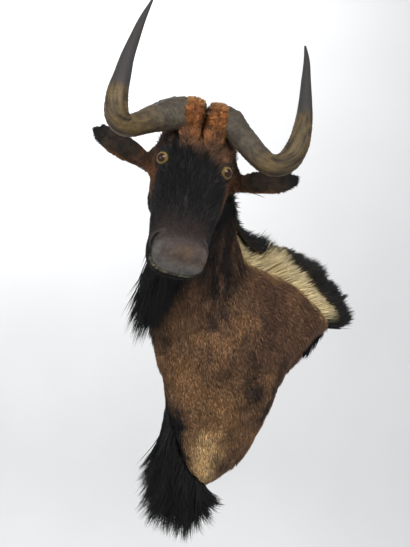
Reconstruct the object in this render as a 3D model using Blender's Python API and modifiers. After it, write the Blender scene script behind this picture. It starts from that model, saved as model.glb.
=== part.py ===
"""Wall-hung shoulder mount of a black wildebeest bull, life size, head turned to its left.

Metres, +Z up, +Y into the wall. The origin is on the flat back of the board, at its middle.
The body is modelled whole as lofts that are fused, then parted with thin cuts.
"""

import math

import bmesh
import bpy
from mathutils import Matrix, Vector

# General
GAP = 0.0003  # between neighbouring solids
BOARD_THICK = 0.018
FLESH_BACK = -BOARD_THICK - GAP  # the cape's flat back, on the board
FAR = 2.0  # side of the cutting blocks
UP = Vector((0.0, 0.0, 1.0))

# Head: the middle of the eye line, and how the head is turned
EYE_MIDDLE = Vector((-0.074, -0.420, 0.511))
HEAD_ROLL = math.radians(13.0)  # crown towards the animal's left
HEAD_YAW = math.radians(4.0)
HEAD_PITCH = math.radians(40.0)  # face line from the upright, muzzle forward

# Head sections: (distance in front of the eyes, top, bottom, half width, squareness)
HEAD_SECTIONS = (
    (-0.152, 0.012, -0.030, 0.040, 2.2),
    (-0.132, 0.032, -0.062, 0.070, 2.3),
    (-0.095, 0.043, -0.095, 0.086, 2.5),
    (-0.050, 0.043, -0.122, 0.092, 2.6),
    (0.000, 0.037, -0.136, 0.089, 2.7),
    (0.035, 0.034, -0.132, 0.084, 2.7),
    (0.075, 0.031, -0.119, 0.077, 2.8),
    (0.120, 0.028, -0.105, 0.071, 2.8),
    (0.160, 0.025, -0.095, 0.067, 2.8),
    (0.198, 0.022, -0.089, 0.065, 2.8),
    (0.232, 0.017, -0.085, 0.066, 2.8),
    (0.257, 0.006, -0.081, 0.063, 2.7),
    (0.274, -0.010, -0.074, 0.054, 2.5),
    (0.284, -0.026, -0.064, 0.035, 2.2),
)
# Swellings on each side of the head: (middle, radii), in the head's frame
HEAD_SWELLINGS = (
    (Vector((0.061, 0.020, 0.012)), Vector((0.021, 0.031, 0.022))),  # brow
    (Vector((0.050, -0.034, -0.088)), Vector((0.036, 0.060, 0.044))),  # cheek
    (Vector((0.047, -0.238, -0.014)), Vector((0.021, 0.030, 0.024))),  # nostril wing
    (Vector((0.078, 0.036, -0.040)), Vector((0.030, 0.032, 0.036))),  # ear root
)
MUZZLE_CUT = 0.118  # the face is parted here, in front of the eyes
MOUTH_FRONT = Vector((0.0, -0.284, -0.050))
MOUTH_CORNER = Vector((0.0, -0.150, -0.066))

# Eyes
EYE_CENTRE = Vector((0.0705, -0.001, 0.003))
EYE_RADIUS = 0.0175

# Horns: centre line (to the side, up and forward from the eyes), then half height and half thickness
HORN_RIGHT = (
    (Vector((0.041, 0.118, -0.020)), 0.043, 0.030),
    (Vector((0.061, 0.109, -0.012)), 0.045, 0.031),
    (Vector((0.080, 0.100, 0.002)), 0.0425, 0.031),
    (Vector((0.099, 0.087, 0.020)), 0.036, 0.030),
    (Vector((0.118, 0.075, 0.038)), 0.030, 0.0285),
    (Vector((0.137, 0.061, 0.058)), 0.0265, 0.0265),
    (Vector((0.158, 0.047, 0.080)), 0.0245, 0.0250),
    (Vector((0.177, 0.046, 0.100)), 0.0255, 0.0255),
    (Vector((0.191, 0.060, 0.112)), 0.0262, 0.0262),
    (Vector((0.198, 0.086, 0.114)), 0.0252, 0.0252),
    (Vector((0.200, 0.113, 0.108)), 0.0229, 0.0229),
    (Vector((0.199, 0.145, 0.097)), 0.0195, 0.0195),
    (Vector((0.198, 0.188, 0.079)), 0.0156, 0.0156),
    (Vector((0.193, 0.235, 0.058)), 0.0121, 0.0121),
    (Vector((0.186, 0.287, 0.036)), 0.0080, 0.0080),
    (Vector((0.175, 0.338, 0.016)), 0.0026, 0.0026),
)
HORN_LEFT = (
    (Vector((0.038, 0.121, -0.022)), 0.041, 0.029),
    (Vector((0.058, 0.114, -0.012)), 0.038, 0.030),
    (Vector((0.077, 0.099, 0.004)), 0.031, 0.029),
    (Vector((0.099, 0.077, 0.027)), 0.0278, 0.0275),
    (Vector((0.127, 0.053, 0.053)), 0.0260, 0.0260),
    (Vector((0.152, 0.036, 0.080)), 0.0242, 0.0245),
    (Vector((0.176, 0.036, 0.100)), 0.0242, 0.0242),
    (Vector((0.194, 0.054, 0.112)), 0.0252, 0.0252),
    (Vector((0.203, 0.082, 0.114)), 0.0243, 0.0243),
    (Vector((0.206, 0.112, 0.108)), 0.0217, 0.0217),
    (Vector((0.206, 0.149, 0.094)), 0.0184, 0.0184),
    (Vector((0.202, 0.189, 0.078)), 0.0148, 0.0148),
    (Vector((0.196, 0.235, 0.058)), 0.0110, 0.0110),
    (Vector((0.190, 0.283, 0.036)), 0.0070, 0.0070),
    (Vector((0.181, 0.318, 0.020)), 0.0024, 0.0024),
)
HORN_STEPS = 25
HORN_SIDES = 12

# Ears: root in the head's frame, direction, and the leaf's (share of length, half width, cup depth, wall)
EAR_ROOT = Vector((0.083, 0.0175, -0.052))
EAR_DIRECTION = Vector((0.900, 0.400, 0.022))
EAR_LIFT = 0.040  # the right ear is held a little higher than the left
EAR_OPENING = Vector((-0.100, -0.560, 0.800))
EAR_LENGTH = 0.184
EAR_LEAF = (
    (0.00, 0.0200, 0.0160, 0.0280),
    (0.12, 0.0190, 0.0170, 0.0260),
    (0.26, 0.0230, 0.0190, 0.0130),
    (0.42, 0.0290, 0.0190, 0.0070),
    (0.60, 0.0315, 0.0160, 0.0060),
    (0.78, 0.0290, 0.0115, 0.0055),
    (0.92, 0.0200, 0.0065, 0.0050),
    (1.00, 0.0070, 0.0020, 0.0040),
)
EAR_STEPS = 10
EAR_SIDES = 6

# Body sections, from the cape's rear edge to the back of the skull:
# (crest point, throat or chest point, half width on the left, half width on the right)
BODY_SECTIONS = (
    (Vector((0.286, -0.030, 0.142)), Vector((-0.058, -0.030, -0.286)), 0.018, 0.040),
    (Vector((0.270, -0.044, 0.168)), Vector((-0.076, -0.044, -0.268)), 0.070, 0.060),
    (Vector((0.243, -0.056, 0.196)), Vector((-0.098, -0.056, -0.236)), 0.103, 0.080),
    (Vector((0.198, -0.066, 0.232)), Vector((-0.126, -0.066, -0.176)), 0.133, 0.090),
    (Vector((0.146, -0.078, 0.264)), Vector((-0.146, -0.078, -0.100)), 0.148, 0.096),
    (Vector((0.090, -0.094, 0.290)), Vector((-0.154, -0.094, -0.020)), 0.141, 0.100),
    (Vector((0.046, -0.117, 0.313)), Vector((-0.172, -0.117, 0.062)), 0.120, 0.098),
    (Vector((0.022, -0.150, 0.350)), Vector((-0.176, -0.154, 0.142)), 0.100, 0.090),
    (Vector((0.008, -0.178, 0.398)), Vector((-0.166, -0.208, 0.216)), 0.086, 0.082),
    (Vector((-0.002, -0.205, 0.455)), Vector((-0.146, -0.262, 0.290)), 0.080, 0.078),
    (Vector((-0.018, -0.240, 0.520)), Vector((-0.124, -0.302, 0.355)), 0.078, 0.078),
    (Vector((-0.034, -0.290, 0.585)), Vector((-0.106, -0.345, 0.405)), 0.076, 0.076),
    (Vector((-0.044, -0.345, 0.612)), Vector((-0.098, -0.385, 0.445)), 0.068, 0.068),
)
BODY_RINGS = 44
BODY_SIDES = 40
BODY_SQUARENESS = 2.15
REAR_SWAY = (0.041, 0.012)  # how far the cut rear edge weaves, forward at the withers
SHOULDER_MUSCLES = (
    (Vector((0.040, -0.148, 0.125)), Vector((0.080, 0.076, 0.125)), math.radians(-35.0)),
    (Vector((-0.080, -0.125, -0.030)), Vector((0.052, 0.062, 0.110)), math.radians(-14.0)),
)
NECK_CUT = 6.4  # section number where the neck is parted from the shoulder
NECK_MIDDLE_CUT = 8.6
HEAD_CUT = 10.9

# Hair masses: (root, lie of the hair, length, half thickness at the root)
BEARD = (
    (Vector((-0.121, -0.490, 0.306)), Vector((-0.10, -0.04, -1.0)), 0.024, 0.014),
    (Vector((-0.116, -0.448, 0.342)), Vector((-0.12, 0.00, -1.0)), 0.062, 0.026),
    (Vector((-0.110, -0.396, 0.384)), Vector((-0.14, 0.04, -1.0)), 0.118, 0.036),
    (Vector((-0.106, -0.345, 0.414)), Vector((-0.17, 0.06, -1.0)), 0.182, 0.046),
    (Vector((-0.118, -0.292, 0.374)), Vector((-0.22, 0.02, -1.0)), 0.206, 0.048),
    (Vector((-0.138, -0.244, 0.302)), Vector((-0.36, -0.02, -1.0)), 0.196, 0.044),
    (Vector((-0.156, -0.196, 0.225)), Vector((-0.46, -0.04, -1.0)), 0.126, 0.034),
    (Vector((-0.166, -0.160, 0.155)), Vector((-0.30, 0.00, -1.0)), 0.050, 0.020),
)
CHEST_TUFT = (
    (Vector((-0.147, -0.090, -0.058)), Vector((-0.15, 0.00, -1.0)), 0.058, 0.022),
    (Vector((-0.140, -0.090, -0.105)), Vector((-0.44, 0.00, -1.0)), 0.115, 0.036),
    (Vector((-0.124, -0.084, -0.150)), Vector((-0.62, 0.00, -1.0)), 0.172, 0.044),
    (Vector((-0.104, -0.074, -0.195)), Vector((-0.62, 0.00, -1.0)), 0.190, 0.046),
    (Vector((-0.086, -0.064, -0.230)), Vector((-0.36, 0.00, -1.0)), 0.180, 0.042),
    (Vector((-0.070, -0.058, -0.256)), Vector((-0.10, 0.00, -1.0)), 0.138, 0.036),
    (Vector((-0.056, -0.054, -0.274)), Vector((0.46, 0.00, -1.0)), 0.088, 0.028),
    (Vector((-0.048, -0.052, -0.280)), Vector((1.00, 0.00, -0.8)), 0.056, 0.018),
)
# The mane, by body section number: (section, length, share of the lie that is outwards, half thickness)
MANE = (
    (11.6, 0.045, 0.76, 0.016),
    (10.0, 0.060, 0.74, 0.022),
    (8.0, 0.066, 0.72, 0.025),
    (6.4, 0.102, 0.72, 0.027),
    (5.2, 0.132, 0.84, 0.030),
    (4.0, 0.120, 0.89, 0.033),
    (2.8, 0.104, 0.89, 0.033),
    (1.6, 0.088, 0.87, 0.030),
    (0.3, 0.076, 0.82, 0.022),
)
MANE_CUT = 5.3  # the neck's mane is parted from the withers' here
MANE_ROOT_DEPTH = 0.014
MANE_STEPS = 20
FRINGE_STEPS = 17
FRINGE_SIDES = 8
LOCK_DEPTH = 0.055  # how far the locks at a fringe's edge stand out, as a share of its length
LOCK_COUNT = 6.0

# Hair mounds on the head: (middle, radii), in the head's frame
FORELOCK = (Vector((0.0265, 0.101, 0.058)), Vector((0.0255, 0.057, 0.031)))
FACE_BRUSH = (Vector((0.0, -0.052, 0.026)), Vector((0.056, 0.116, 0.020)))

# Fused flesh
FUSE_VOXEL = 0.0060
FUSE_SMOOTH = 6
FLESH_TRIANGLES = 2850

# Back board outline, seen from the front
BOARD_POINTS = (
    (0.215, 0.150), (0.170, 0.190), (0.090, 0.215), (0.000, 0.190), (-0.070, 0.100),
    (-0.115, -0.010), (-0.112, -0.110), (-0.078, -0.200), (-0.030, -0.225), (0.020, -0.175),
    (0.066, -0.080), (0.098, 0.000), (0.150, 0.080),
)
BOARD_BEVEL = 0.003
HANGER_SIZE = Vector((0.046, 0.0025, 0.090))
HANGER_MIDDLE = (0.020, 0.125)
HANGER_HOLE = 0.0065
HANGER_SLOT = 0.0035

# Colours: (red, green, blue, roughness, metallic)
COLOURS = {
    "coat": (0.110, 0.062, 0.038, 0.75, 0.0),
    "dark_face": (0.022, 0.018, 0.017, 0.70, 0.0),
    "nose_skin": (0.105, 0.080, 0.068, 0.60, 0.0),
    "black_hair": (0.010, 0.009, 0.009, 0.60, 0.0),
    "cream_hair": (0.520, 0.400, 0.210, 0.70, 0.0),
    "rust_hair": (0.330, 0.120, 0.035, 0.70, 0.0),
    "horn": (0.120, 0.098, 0.070, 0.55, 0.0),
    "eye": (0.200, 0.085, 0.020, 0.08, 0.0),
    "board": (0.420, 0.280, 0.150, 0.70, 0.0),
    "steel": (0.450, 0.450, 0.450, 0.40, 0.9),
}


def head_matrix():
    """The head's frame: x to its left, y to the crown, z out of the forehead, from the middle of the eyes."""
    roll = Matrix.Rotation(HEAD_ROLL, 3, "Y")
    left, up, forward = roll @ Vector((1, 0, 0)), roll @ UP, Vector((0, -1, 0))
    turned = math.cos(HEAD_YAW) * forward + math.sin(HEAD_YAW) * left
    left = math.cos(HEAD_YAW) * left - math.sin(HEAD_YAW) * forward
    muzzle = math.sin(HEAD_PITCH) * turned - math.cos(HEAD_PITCH) * up
    brow = math.cos(HEAD_PITCH) * turned + math.sin(HEAD_PITCH) * up
    frame = Matrix((left, -muzzle, brow)).transposed().to_4x4()
    frame.translation = EYE_MIDDLE
    return frame


HEAD = head_matrix()


def upright(side, up, forward):
    """A point given as left, up and forward from the eyes, in the head's frame."""
    muzzle = forward * math.sin(HEAD_PITCH) - up * math.cos(HEAD_PITCH)
    brow = forward * math.cos(HEAD_PITCH) + up * math.sin(HEAD_PITCH)
    return Vector((side, -muzzle, brow))


def spline(rows, at):
    """Catmull-Rom between rows of numbers or vectors, at a row number."""
    last = len(rows) - 1
    low = min(int(at), last - 1)
    t = at - low
    picked = [rows[min(max(low + k, 0), last)] for k in (-1, 0, 1, 2)]
    weights = (
        0.5 * (-t + 2 * t * t - t**3),
        0.5 * (2 - 5 * t * t + 3 * t**3),
        0.5 * (t + 4 * t * t - 3 * t**3),
        0.5 * (-t * t + t**3),
    )
    total = []
    for values in zip(*picked):
        sample = values[0] * weights[0]
        for value, weight in zip(values[1:], weights[1:]):
            sample = sample + value * weight
        total.append(sample)
    return total


def rounded(angle, power):
    """Sine and cosine of a squarer circle."""
    sine, cosine = math.sin(angle), math.cos(angle)
    return (
        math.copysign(abs(sine) ** (2 / power), sine),
        math.copysign(abs(cosine) ** (2 / power), cosine),
    )


def new_object(name, mesh, colour="coat", parts=True):
    """Links a mesh as a part of the object, or as a cutter."""
    obj = bpy.data.objects.new(name, mesh)
    (PARTS if parts else CUTTERS).objects.link(obj)
    obj.hide_render = not parts
    if not parts:
        obj.display_type = "WIRE"
    mesh.materials.clear()
    mesh.materials.append(MATERIALS[colour])
    return obj


def make_materials():
    """One Principled material for each colour."""
    made = {}
    for name, (red, green, blue, roughness, metallic) in COLOURS.items():
        material = bpy.data.materials.new(name)
        material.use_nodes = True
        shader = material.node_tree.nodes["Principled BSDF"]
        shader.inputs["Base Color"].default_value = (red, green, blue, 1)
        shader.inputs["Roughness"].default_value = roughness
        shader.inputs["Metallic"].default_value = metallic
        made[name] = material
    return made


def loft(name, rings, colour="coat", parts=False):
    """A closed skin through rings of as many points each, capped with fans."""
    mesh = bpy.data.meshes.new(name)
    shape = bmesh.new()
    rows = [[shape.verts.new(point) for point in ring] for ring in rings]
    sides = len(rows[0])
    for low, high in zip(rows, rows[1:]):
        for k in range(sides):
            after = (k + 1) % sides
            shape.faces.new((low[k], low[after], high[after], high[k]))
    for row, points in ((rows[0], rings[0]), (rows[-1], rings[-1])):
        middle = shape.verts.new(sum(points, Vector()) / sides)
        for k in range(sides):
            shape.faces.new((row[k], row[(k + 1) % sides], middle))
    bmesh.ops.recalc_face_normals(shape, faces=shape.faces)
    bmesh.ops.triangulate(shape, faces=shape.faces)
    shape.to_mesh(mesh)
    shape.free()
    return new_object(name, mesh, colour, parts)


def baked(obj):
    """Applies an object's modifiers and placement to its mesh."""
    graph = bpy.context.evaluated_depsgraph_get()
    mesh = bpy.data.meshes.new_from_object(obj.evaluated_get(graph))
    mesh.transform(obj.matrix_world)
    old = obj.data
    obj.modifiers.clear()
    obj.matrix_world = Matrix.Identity(4)
    obj.data = mesh
    bpy.data.meshes.remove(old)
    bpy.context.view_layer.update()
    return obj


def copied(obj, name, colour=None, parts=True):
    """A copy of an object, with its own mesh."""
    mesh = obj.data.copy()
    mesh.name = name
    return new_object(name, mesh, colour or obj.data.materials[0].name, parts)


def boolean(obj, cutter, operation="DIFFERENCE"):
    """Cuts or joins with the exact solver, applied."""
    modifier = obj.modifiers.new("cut", "BOOLEAN")
    modifier.operation = operation
    modifier.solver = "EXACT"
    modifier.object = cutter
    return baked(obj)


def grown(obj, distance=GAP):
    """A cutter: the object with every face of its skin moved out."""
    cutter = copied(obj, obj.name + "_clearance", parts=False)
    shape = bmesh.new()
    shape.from_mesh(cutter.data)
    shape.normal_update()
    moves = [vertex.normal * distance * vertex.calc_shell_factor() for vertex in shape.verts]
    for vertex, move in zip(shape.verts, moves):
        vertex.co += move
    shape.to_mesh(cutter.data)
    shape.free()
    return cutter


def half_space(point, normal, name="half_space"):
    """A cutter block that fills the side of a plane its normal points away from."""
    mesh = bpy.data.meshes.new(name)
    shape = bmesh.new()
    bmesh.ops.create_cube(shape, size=FAR)
    bmesh.ops.translate(shape, verts=shape.verts, vec=(0, 0, -FAR / 2))
    turn = normal.to_track_quat("Z", "Y").to_matrix().to_4x4()
    bmesh.ops.transform(shape, verts=shape.verts, matrix=Matrix.Translation(point) @ turn)
    shape.to_mesh(mesh)
    shape.free()
    return new_object(name, mesh, parts=False)


def parted(obj, point, normal, back_name, front_name):
    """Parts an object at a plane with a thin gap. The front is the side the normal points to."""
    normal = normal.normalized()
    front = copied(obj, front_name)
    boolean(front, half_space(point + normal * GAP / 2, normal))
    boolean(obj, half_space(point - normal * GAP / 2, -normal))
    obj.name = obj.data.name = back_name
    return obj, front


def largest_body(obj):
    """Deletes loose crumbs that a cut leaves, keeping the largest piece."""
    shape = bmesh.new()
    shape.from_mesh(obj.data)
    left, bodies = set(shape.verts), []
    while left:
        body, queue = set(), [left.pop()]
        while queue:
            vertex = queue.pop()
            body.add(vertex)
            for edge in vertex.link_edges:
                other = edge.other_vert(vertex)
                if other in left:
                    left.discard(other)
                    queue.append(other)
        bodies.append(body)
    keep = max(bodies, key=len)
    bmesh.ops.delete(shape, geom=[v for v in shape.verts if v not in keep], context="VERTS")
    shape.to_mesh(obj.data)
    shape.free()
    return obj


def swelling(name, middle, radii, turn=None):
    """An egg-shaped swelling, as a cutter-side mesh that is fused later."""
    mesh = bpy.data.meshes.new(name)
    shape = bmesh.new()
    bmesh.ops.create_uvsphere(shape, u_segments=24, v_segments=16, radius=1.0)
    place = Matrix.Translation(middle) @ (turn or Matrix.Identity(4)) @ Matrix.Diagonal(radii.to_4d())
    bmesh.ops.transform(shape, verts=shape.verts, matrix=place)
    shape.to_mesh(mesh)
    shape.free()
    return new_object(name, mesh, parts=False)


def mirrored(vector):
    """The same place on the head's other side."""
    return Vector((-vector.x, vector.y, vector.z))


def body_frame(at):
    """Middle, crest direction, left direction, half height and half widths of the body at a section number."""
    crest, chest, left_wide, right_wide = spline(BODY_SECTIONS, at)
    step = 0.02
    low, high = max(at - step, 0), min(at + step, len(BODY_SECTIONS) - 1)
    before, after = spline(BODY_SECTIONS, low), spline(BODY_SECTIONS, high)
    forward = (after[0] + after[1] - before[0] - before[1]).normalized()
    height = (crest - chest).length / 2
    dorsal = (crest - chest).normalized()
    left = dorsal.cross(forward).normalized()
    return (crest + chest) / 2, dorsal, left, forward, height, left_wide, right_wide


def body_ring(at):
    """One section of the body."""
    middle, dorsal, left, forward, height, left_wide, right_wide = body_frame(at)
    fade = max(0.0, 1.0 - at / 3.0)
    ring = []
    for k in range(BODY_SIDES):
        sine, cosine = rounded(2 * math.pi * k / BODY_SIDES, BODY_SQUARENESS)
        wide = left_wide if sine > 0 else right_wide
        down = (1 - cosine) / 2
        weave = REAR_SWAY[0] * math.sin(2 * math.pi * down) + REAR_SWAY[1] * math.sin(math.pi * down)
        ring.append(middle + dorsal * height * cosine + left * wide * sine + forward * weave * fade)
    return ring


def head_ring(section):
    """One section of the head."""
    ahead, top, bottom, half_width, power = section
    ring = []
    for k in range(BODY_SIDES):
        sine, cosine = rounded(2 * math.pi * k / BODY_SIDES, power)
        height = (top + bottom) / 2 + (top - bottom) / 2 * cosine
        ring.append(HEAD @ Vector((half_width * sine, -ahead, height)))
    return ring


def make_flesh():
    """Trunk, neck and head fused into one skin, with a flat back on the board."""
    last = len(BODY_SECTIONS) - 1
    flesh = loft("flesh", [body_ring(last * k / (BODY_RINGS - 1)) for k in range(BODY_RINGS)], parts=True)
    count = len(HEAD_SECTIONS) * 3
    steps = [(len(HEAD_SECTIONS) - 1) * k / (count - 1) for k in range(count)]
    pieces = [loft("head_core", [head_ring(spline(HEAD_SECTIONS, at)) for at in steps])]
    for side in (1, -1):
        for middle, radii in HEAD_SWELLINGS:
            place = middle if side > 0 else mirrored(middle)
            pieces.append(swelling("swelling", HEAD @ place, radii, HEAD.to_3x3().to_4x4()))
    for middle, radii, turn in SHOULDER_MUSCLES:
        pieces.append(swelling("muscle", middle, radii, Matrix.Rotation(turn, 4, "Y")))
    shape = bmesh.new()
    shape.from_mesh(flesh.data)
    for piece in pieces:
        shape.from_mesh(piece.data)
        bpy.data.objects.remove(piece)
    shape.to_mesh(flesh.data)
    shape.free()
    remesh = flesh.modifiers.new("fuse", "REMESH")
    remesh.mode = "VOXEL"
    remesh.voxel_size = FUSE_VOXEL
    smooth = flesh.modifiers.new("smooth", "SMOOTH")
    smooth.iterations = FUSE_SMOOTH
    baked(flesh)
    thin = flesh.modifiers.new("thin", "DECIMATE")
    thin.ratio = FLESH_TRIANGLES / (2 * len(flesh.data.polygons))
    baked(flesh)
    boolean(flesh, half_space(Vector((0, FLESH_BACK, 0)), Vector((0, -1, 0))))
    return largest_body(flesh)


def make_eyes(flesh):
    """Glass eyes, and their sockets in the flesh."""
    for side, place in (("left", EYE_CENTRE), ("right", mirrored(EYE_CENTRE))):
        for radius, name, parts in ((EYE_RADIUS, "eye_" + side, True), (EYE_RADIUS + GAP, "socket_" + side, False)):
            mesh = bpy.data.meshes.new(name)
            shape = bmesh.new()
            bmesh.ops.create_uvsphere(shape, u_segments=14, v_segments=8, radius=radius)
            bmesh.ops.translate(shape, verts=shape.verts, vec=HEAD @ place)
            shape.to_mesh(mesh)
            shape.free()
            ball = new_object(name, mesh, "eye", parts)
        boolean(flesh, ball)


def horn_rings(line, side):
    """One horn, from its boss on the forehead down, forward and up to the tip."""
    rings = []
    last = len(line) - 1
    for k in range(HORN_STEPS):
        at = last * k / (HORN_STEPS - 1)
        middle, tall, thick = spline(line, at)
        ahead = spline(line, min(at + 0.05, last))[0]
        behind = spline(line, max(at - 0.05, 0))[0]
        along = upright(*ahead) - upright(*behind)
        thickness = Vector((0, 0, 1)) - along * (along.z / along.length_squared)
        thickness.normalize()
        height = along.normalized().cross(thickness)
        ring = []
        for j in range(HORN_SIDES):
            angle = 2 * math.pi * j / HORN_SIDES
            ridge = 1 + 0.012 * math.sin(3 * angle + 0.4 * k)
            point = upright(*middle) + (height * tall * math.cos(angle) + thickness * thick * math.sin(angle)) * ridge
            point.x *= side
            ring.append(HEAD @ point)
        rings.append(ring)
    return rings


def make_horns(cutters):
    """Both horns, seated on the skull. Gives their clearances."""
    clearances = []
    for name, line, side in (("horn_left", HORN_LEFT, 1), ("horn_right", HORN_RIGHT, -1)):
        horn = loft(name, horn_rings(line, side), "horn", parts=True)
        clearances.append(grown(horn))
        for cutter in cutters:
            boolean(horn, cutter)
        largest_body(horn)
    return clearances


def ear_rings(side):
    """A leaf-shaped cup, thick at its root."""
    along = (EAR_DIRECTION - Vector((0, EAR_LIFT * side, 0))).normalized()
    opening = (EAR_OPENING - along * EAR_OPENING.dot(along)).normalized()
    across = along.cross(opening)
    rings = []
    for k in range(EAR_STEPS):
        share, wide, deep, wall = spline(EAR_LEAF, (len(EAR_LEAF) - 1) * k / (EAR_STEPS - 1))
        middle = EAR_ROOT + along * EAR_LENGTH * share
        spots = [2 * j / EAR_SIDES - 1 for j in range(EAR_SIDES + 1)]
        outer = [(u, -deep * (1 - u * u)) for u in spots]
        inner = [(u, -deep * (1 - u * u) + wall * (0.30 + 0.70 * (1 - u * u))) for u in reversed(spots)]
        ring = []
        for u, height in outer + inner:
            point = middle + across * wide * u + opening * height
            point.x *= side
            ring.append(HEAD @ point)
        rings.append(ring)
    return rings


def make_ears(cutters):
    """Both ears, seated on the head and clear of the horns. Gives their clearances."""
    clearances = []
    for name, side in (("ear_left", 1), ("ear_right", -1)):
        ear = loft(name, ear_rings(side), "dark_face", parts=True)
        clearances.append(grown(ear))
        for cutter in cutters:
            boolean(ear, cutter)
        largest_body(ear)
    return clearances


def fringe_ring(root, lie, across, length, half_thick, lock):
    """One section of a hair mass: full at the root, thin at the tips."""
    reach = length * (1 + LOCK_DEPTH * lock)
    ring = []
    for k in range(FRINGE_SIDES):
        angle = 2 * math.pi * k / FRINGE_SIDES
        far = (1 - math.cos(angle)) / 2
        thick = half_thick * math.sin(angle) * (1 - 0.45 * far)
        ring.append(root + lie * reach * far + across * thick)
    return ring


def make_fringe(name, rows, colour, cutters, steps=FRINGE_STEPS):
    """A hair mass that grows from a line of roots."""
    rings = []
    last = len(rows) - 1
    for k in range(steps):
        at = last * k / (steps - 1)
        root, lie, length, half_thick = spline(rows, at)
        line = spline(rows, min(at + 0.05, last))[0] - spline(rows, max(at - 0.05, 0))[0]
        lie = lie.normalized()
        across = line.cross(lie).normalized()
        lock = math.sin(LOCK_COUNT * 2 * math.pi * k / (steps - 1))
        rings.append(fringe_ring(root, lie, across, length, half_thick, lock))
    hair = loft(name, rings, colour, parts=True)
    for cutter in cutters:
        boolean(hair, cutter)
    return largest_body(hair)


def mane_rows():
    """Roots, lie, lengths and thickness of the mane, read along the crest."""
    rows = []
    for k in range(MANE_STEPS):
        at, length, outward, half_thick = spline(MANE, (len(MANE) - 1) * k / (MANE_STEPS - 1))
        middle, dorsal, left, forward, height, _, _ = body_frame(at)
        root = middle + dorsal * (height - MANE_ROOT_DEPTH)
        lie = dorsal * outward - forward * math.sqrt(1 - outward * outward)
        rows.append((root, lie, length, half_thick))
    return rows


def mound(name, middle, radii, colour, cutters):
    """A brushed-up mound of hair on the head, with lengthwise locks."""
    mesh = bpy.data.meshes.new(name)
    shape = bmesh.new()
    bmesh.ops.create_uvsphere(shape, u_segments=14, v_segments=8, radius=1.0)
    for vertex in shape.verts:
        swell = 1 + 0.05 * math.sin(9 * math.atan2(vertex.co.x, vertex.co.z) + 3 * vertex.co.y)
        vertex.co *= swell
    place = HEAD @ Matrix.Translation(middle) @ Matrix.Diagonal(radii.to_4d())
    lay_flat = Matrix.Rotation(math.pi / 2, 4, "X")
    bmesh.ops.transform(shape, verts=shape.verts, matrix=place @ lay_flat)
    bmesh.ops.triangulate(shape, faces=shape.faces)
    shape.to_mesh(mesh)
    shape.free()
    tuft = new_object(name, mesh, colour)
    clearance = grown(tuft)
    for cutter in cutters:
        boolean(tuft, cutter)
    largest_body(tuft)
    return clearance


def make_board():
    """The wooden board that backs the form, and the steel hanger let into it."""
    curve = bpy.data.curves.new("board_outline", "CURVE")
    curve.dimensions = "2D"
    curve.fill_mode = "BOTH"
    curve.extrude = BOARD_THICK / 2
    curve.resolution_u = 3
    line = curve.splines.new("BEZIER")
    line.bezier_points.add(len(BOARD_POINTS) - 1)
    for point, (x, z) in zip(line.bezier_points, BOARD_POINTS):
        point.co = (x, z, 0)
        point.handle_left_type = point.handle_right_type = "AUTO"
    line.use_cyclic_u = True
    outline = bpy.data.objects.new("board_outline", curve)
    PARTS.objects.link(outline)
    outline.rotation_euler = (math.pi / 2, 0, 0)
    outline.location = (0, -BOARD_THICK / 2, 0)
    bpy.context.view_layer.update()
    graph = bpy.context.evaluated_depsgraph_get()
    mesh = bpy.data.meshes.new_from_object(outline.evaluated_get(graph))
    mesh.transform(outline.matrix_world)
    bpy.data.objects.remove(outline)
    shape = bmesh.new()
    shape.from_mesh(mesh)
    bmesh.ops.remove_doubles(shape, verts=shape.verts, dist=0.00005)
    bmesh.ops.recalc_face_normals(shape, faces=shape.faces)
    shape.to_mesh(mesh)
    shape.free()
    board = new_object("back_board", mesh, "board")
    x, z = HANGER_MIDDLE
    plate = plain_block("hanger_plate", Vector((x, -HANGER_SIZE.y / 2 - GAP, z)), HANGER_SIZE, "steel", True)
    pocket = plain_block("pocket", Vector((x, -HANGER_SIZE.y / 2, z)), HANGER_SIZE + Vector((2, 4, 2)) * GAP)
    boolean(board, pocket)
    recess = drilled("recess", Vector((x, -0.006, z)), HANGER_HOLE * 1.4, 0.016)
    boolean(board, recess)
    boolean(plate, drilled("hole", Vector((x, 0, z - 0.008)), HANGER_HOLE, 0.02))
    slot = Vector((2 * HANGER_SLOT, 0.02, 0.024))
    boolean(plate, plain_block("slot", Vector((x, 0, z + 0.004)), slot))
    return board, plate


def plain_block(name, middle, size, colour="steel", parts=False):
    """A rectangular block."""
    mesh = bpy.data.meshes.new(name)
    shape = bmesh.new()
    bmesh.ops.create_cube(shape, size=1.0)
    bmesh.ops.transform(shape, verts=shape.verts, matrix=Matrix.Translation(middle) @ Matrix.Diagonal(size.to_4d()))
    shape.to_mesh(mesh)
    shape.free()
    return new_object(name, mesh, colour, parts)


def drilled(name, middle, radius, length):
    """A round cutter along Y."""
    mesh = bpy.data.meshes.new(name)
    shape = bmesh.new()
    bmesh.ops.create_cone(
        shape, cap_ends=True, segments=24, radius1=radius, radius2=radius, depth=length,
        matrix=Matrix.Translation(middle) @ Matrix.Rotation(math.pi / 2, 4, "X"),
    )
    shape.to_mesh(mesh)
    shape.free()
    return new_object(name, mesh, parts=False)


def body_plane(at):
    """A point and a forward normal to part the body at a section number."""
    middle, dorsal, left, _, _, _, _ = body_frame(at)
    return middle, left.cross(dorsal)


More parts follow.
